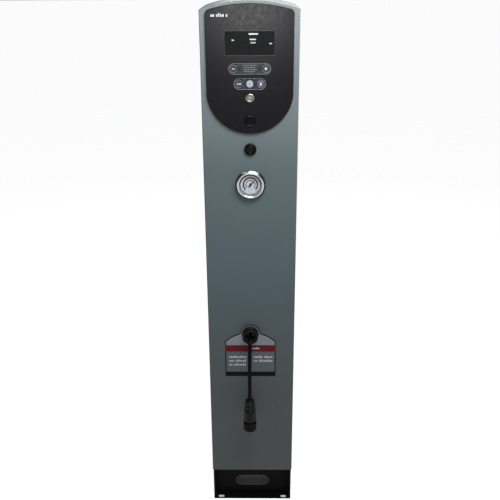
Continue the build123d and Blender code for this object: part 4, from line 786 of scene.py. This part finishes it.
# Painted shadow: a dark ring round the dial's edge, widest at the top, stands for the shade the bezel casts on
# it.
BEZEL_SHADOW_R = 0.0270
bezel_shadow_path = arc(gauge_centre, BEZEL_SHADOW_R, 0, 360, 121)[:-1]
upward = (bezel_shadow_path[:, 1] - gauge_z) / BEZEL_SHADOW_R
bezel_shadow_width = 0.0018 + 0.0026 * np.clip(upward + 0.3, 0, 1.3)
dial_bezel_shadow = band(bezel_shadow_path, bezel_shadow_width, dial_front - INK_PROUD, dial_front + INK_SINK, True)
finish_mesh("dial_bezel_shadow", *dial_bezel_shadow, dial_ink_and_shadow, "housing")
for value in range(0, 17, 2):
    angle = math.radians(dial_angle(value))
    curve = bpy.data.curves.new(f"dial_digit_{value}", "FONT")
    curve.body, curve.size, curve.extrude = str(value), 0.0040, 0.00006
    curve.align_x, curve.align_y = "CENTER", "CENTER"
    text = bpy.data.objects.new(f"dial_digit_{value}", curve)
    bpy.context.collection.objects.link(text)
    mesh = bpy.data.meshes.new_from_object(text)
    bpy.data.objects.remove(text)
    spot = (gauge_x + 0.0237 * math.cos(angle), dial_front - 0.00005, gauge_z + 0.0237 * math.sin(angle))
    mesh.transform(Matrix.Translation(spot) @ Matrix.Rotation(math.radians(90), 4, "X"))
    mesh.materials.append(dial_grey)
    digit = bpy.data.objects.new(f"dial_number_{value}", mesh)
    bpy.context.collection.objects.link(digit)
    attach(digit, "housing")

paint_node(["gauge_pointer"], moulded("pointer_black", (0.003, 0.003, 0.004), 0.5, Specular_IOR_Level=0.2))
paint_node(["gauge_movement", "outlet_fitting", "ball_valve", "inlet_fitting"],
           brushed("brass", (0.62, 0.44, 0.17), 0.28, (1800.0, 1800.0, 60.0)))

# ------------------------------------------------------------------ outlet label
# A printed vinyl label round the hose outlet: black outline, grey head, red band, slate field, black foot.
label_low, label_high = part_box("outlet_label")
LABEL_FACE = label_low[1]
outlet_x, outlet_z = middle("hose_fairlead")[0], middle("hose_fairlead")[2]
half, label_base, arch_r = (label_high[0] - label_low[0]) / 2, label_low[2], label_high[2] - outlet_z
SHOULDER_DROP, NECK = 0.025, 0.001
shoulder_z, neck_z = outlet_z - SHOULDER_DROP, outlet_z + NECK


def arc_through(a, b, c, steps=20):
    """Points on the circle arc from a over b to c; its centre is equally far from all three."""
    a, b, c = (np.asarray(p, float) for p in (a, b, c))
    centre = np.linalg.solve(2 * np.array([b - a, c - a]), [b @ b - a @ a, c @ c - a @ a])
    turn = [math.degrees(math.atan2(*(p - centre)[::-1])) for p in (a, b, c)]
    turn = np.unwrap(turn, period=360)
    return arc(centre, np.linalg.norm(a - centre), turn[0], turn[2], steps)


arch_x = math.sqrt(arch_r ** 2 - NECK ** 2)
right_shoulder = arc_through((half, shoulder_z), (half - 0.017, shoulder_z + 0.0145), (arch_x, neck_z))
neck_turn = math.degrees(math.asin(NECK / arch_r))
arch = arc((0, outlet_z), arch_r, neck_turn, 180 - neck_turn, 40)[1:-1]
left_shoulder = right_shoulder[::-1] * (-1, 1)
label_edge = np.vstack([[(half, label_base)], right_shoulder, arch, left_shoulder, [(-half, label_base)]])
label_edge = label_edge + (outlet_x, 0)
OUTLINE = 0.0028
label_inside = label_edge + sideways(label_edge, True) * OUTLINE
label_black = ink("label_black", (0.0030, 0.0031, 0.0034), 400.0, 0.05)
paint_node(["outlet_label"], label_black)
red_low, red_high, foot_top = outlet_z - 0.0565, outlet_z - 0.0360, label_base + 0.0145
inner = half - OUTLINE
head = label_inside[label_inside[:, 1] > red_high]
head = np.vstack([[(outlet_x - inner, red_high), (outlet_x + inner, red_high)], head])
printed("label_head", [head], LABEL_FACE, ink("label_head_ink", (0.135, 0.150, 0.165), 300.0))
red_box = box_outline(outlet_x, (red_low + red_high) / 2, 2 * half - 0.0004, red_high - red_low)
printed("label_red_band", [red_box], LABEL_FACE, ink("label_red_ink", (0.080, 0.0065, 0.0090), 300.0, 0.06))
field = box_outline(outlet_x, (red_low + foot_top) / 2, 2 * inner, red_low - foot_top - 0.0003)
printed("label_field", [field], LABEL_FACE, ink("label_field_ink", (0.057, 0.070, 0.079), 300.0))
BIG_H, BIG_PITCH = 0.0072, 0.0050
words = greeked(outlet_x + 0.0060, red_low + 0.0075, (6,), 0.0066, 0.0034)
LABEL_ROWS = [(0.0205, (10,), (5, 5)), (0.0330, (3, 6), (2, 8)), (0.0455, (2, 7), ())]
for drop, left_words, right_words in LABEL_ROWS:
    words += greeked(outlet_x - 0.0600, red_low - drop, left_words, BIG_H, BIG_PITCH)
    words += greeked(outlet_x + 0.0100, red_low - drop, right_words, BIG_H, BIG_PITCH)
label_word_ink = ink("label_word_ink", (0.34, 0.37, 0.40), 1200.0)
printed("label_wording_blocks", words, LABEL_FACE, label_word_ink, levels=2)

# ------------------------------------------------------------------ hose outlet
# A bell-mouthed fairlead in black plastic, nutted through the sheet. Its lip carries the hose round the bend.
fair_low, fair_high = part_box("hose_fairlead")
tip, root = fair_low[1], LABEL_FACE
LIP_R, FLANGE_R, BORE_R, NECK_R = 0.0220, 0.0240, 0.0080, 0.0100
fair_corners = [(BORE_R, root + 0.004), (BORE_R + 0.0001, root - 0.006), (0.0094, tip + 0.0100),
                (0.0130, tip + 0.0050), (0.0165, tip + 0.0018), (0.0183, tip + 0.0003),
                (LIP_R - 0.0022, tip + 0.0001), (LIP_R - 0.0007, tip + 0.0008), (LIP_R, tip + 0.0025),
                (LIP_R - 0.0003, tip + 0.0048), (LIP_R - 0.0016, tip + 0.0085),
                (LIP_R - 0.0024, tip + 0.0130), (LIP_R - 0.0018, root - 0.0062),
                (FLANGE_R - 0.0032, root - 0.0042), (FLANGE_R - 0.0014, root - 0.0034),
                (FLANGE_R - 0.0004, root - 0.0026), (FLANGE_R - 0.0001, root - 0.0014),
                (FLANGE_R - 0.0001, root - 0.0001)]
fair_inside = [(NECK_R, root - 0.0001), (NECK_R, fair_high[1]), (BORE_R, fair_high[1]), (BORE_R, root + 0.004)]
fair_skin = np.vstack([smooth_profile(fair_corners, 5), fair_inside])
fairlead_black = moulded("fairlead_black", (0.0040, 0.0040, 0.0043), 0.44, 1600.0, 0.00005,
                         Specular_IOR_Level=0.14)
fairlead_shape = turned(fair_skin, (outlet_x, outlet_z), "Y", 112)
fairlead = finish_mesh("fairlead", *fairlead_shape, fairlead_black, "housing", 45)
replacing("hose_fairlead")

# ------------------------------------------------------------------ equipment inside
# What the service door uncovers: board, supply, terminals, valves, filter, sensor and tubes on a zinc plate.
paint_node(["control_board"], moulded("circuit_board", (0.012, 0.085, 0.035), 0.35, 900.0, 0.00006, 1.5))
paint_node(["keypad_mat"], rubber("silicone", (0.10, 0.10, 0.11), 0.6))
paint_node(["power_supply"], brushed("supply_aluminium", (0.66, 0.67, 0.68), 0.36, (1800.0, 1800.0, 40.0)))
paint_node(["terminal_block"], moulded("terminal_grey", (0.32, 0.34, 0.33), 0.5))
paint_node(["valve_block"], brushed("valve_aluminium", (0.60, 0.62, 0.65), 0.3))
coil_black = moulded("coil_black", (0.015, 0.015, 0.016), 0.5)
paint_node(["solenoid_coils", "regulator_knob", "mains_gland"], coil_black)
paint_node(["pressure_sensor"], brushed("sensor_steel", (0.56, 0.56, 0.57), 0.25))
paint_node(["filter_body"], moulded("filter_grey", (0.09, 0.10, 0.11), 0.5))
bowl_clear = Finish("bowl_clear", (0.80, 0.88, 0.90), 0.08, Alpha=0.32)
bowl_clear.feed("Roughness", bowl_clear.noise(60.0) * 0.08 + 0.05)
bowl_clear.material.surface_render_method = "BLENDED"
paint_node(["filter_bowl"], bowl_clear.material)
paint_node(["ball_valve_lever"], moulded("lever_red", (0.42, 0.015, 0.012), 0.35))
paint_node(["air_tubes"], moulded("tube_blue", (0.015, 0.07, 0.36), 0.28, 900.0, 0.00003))
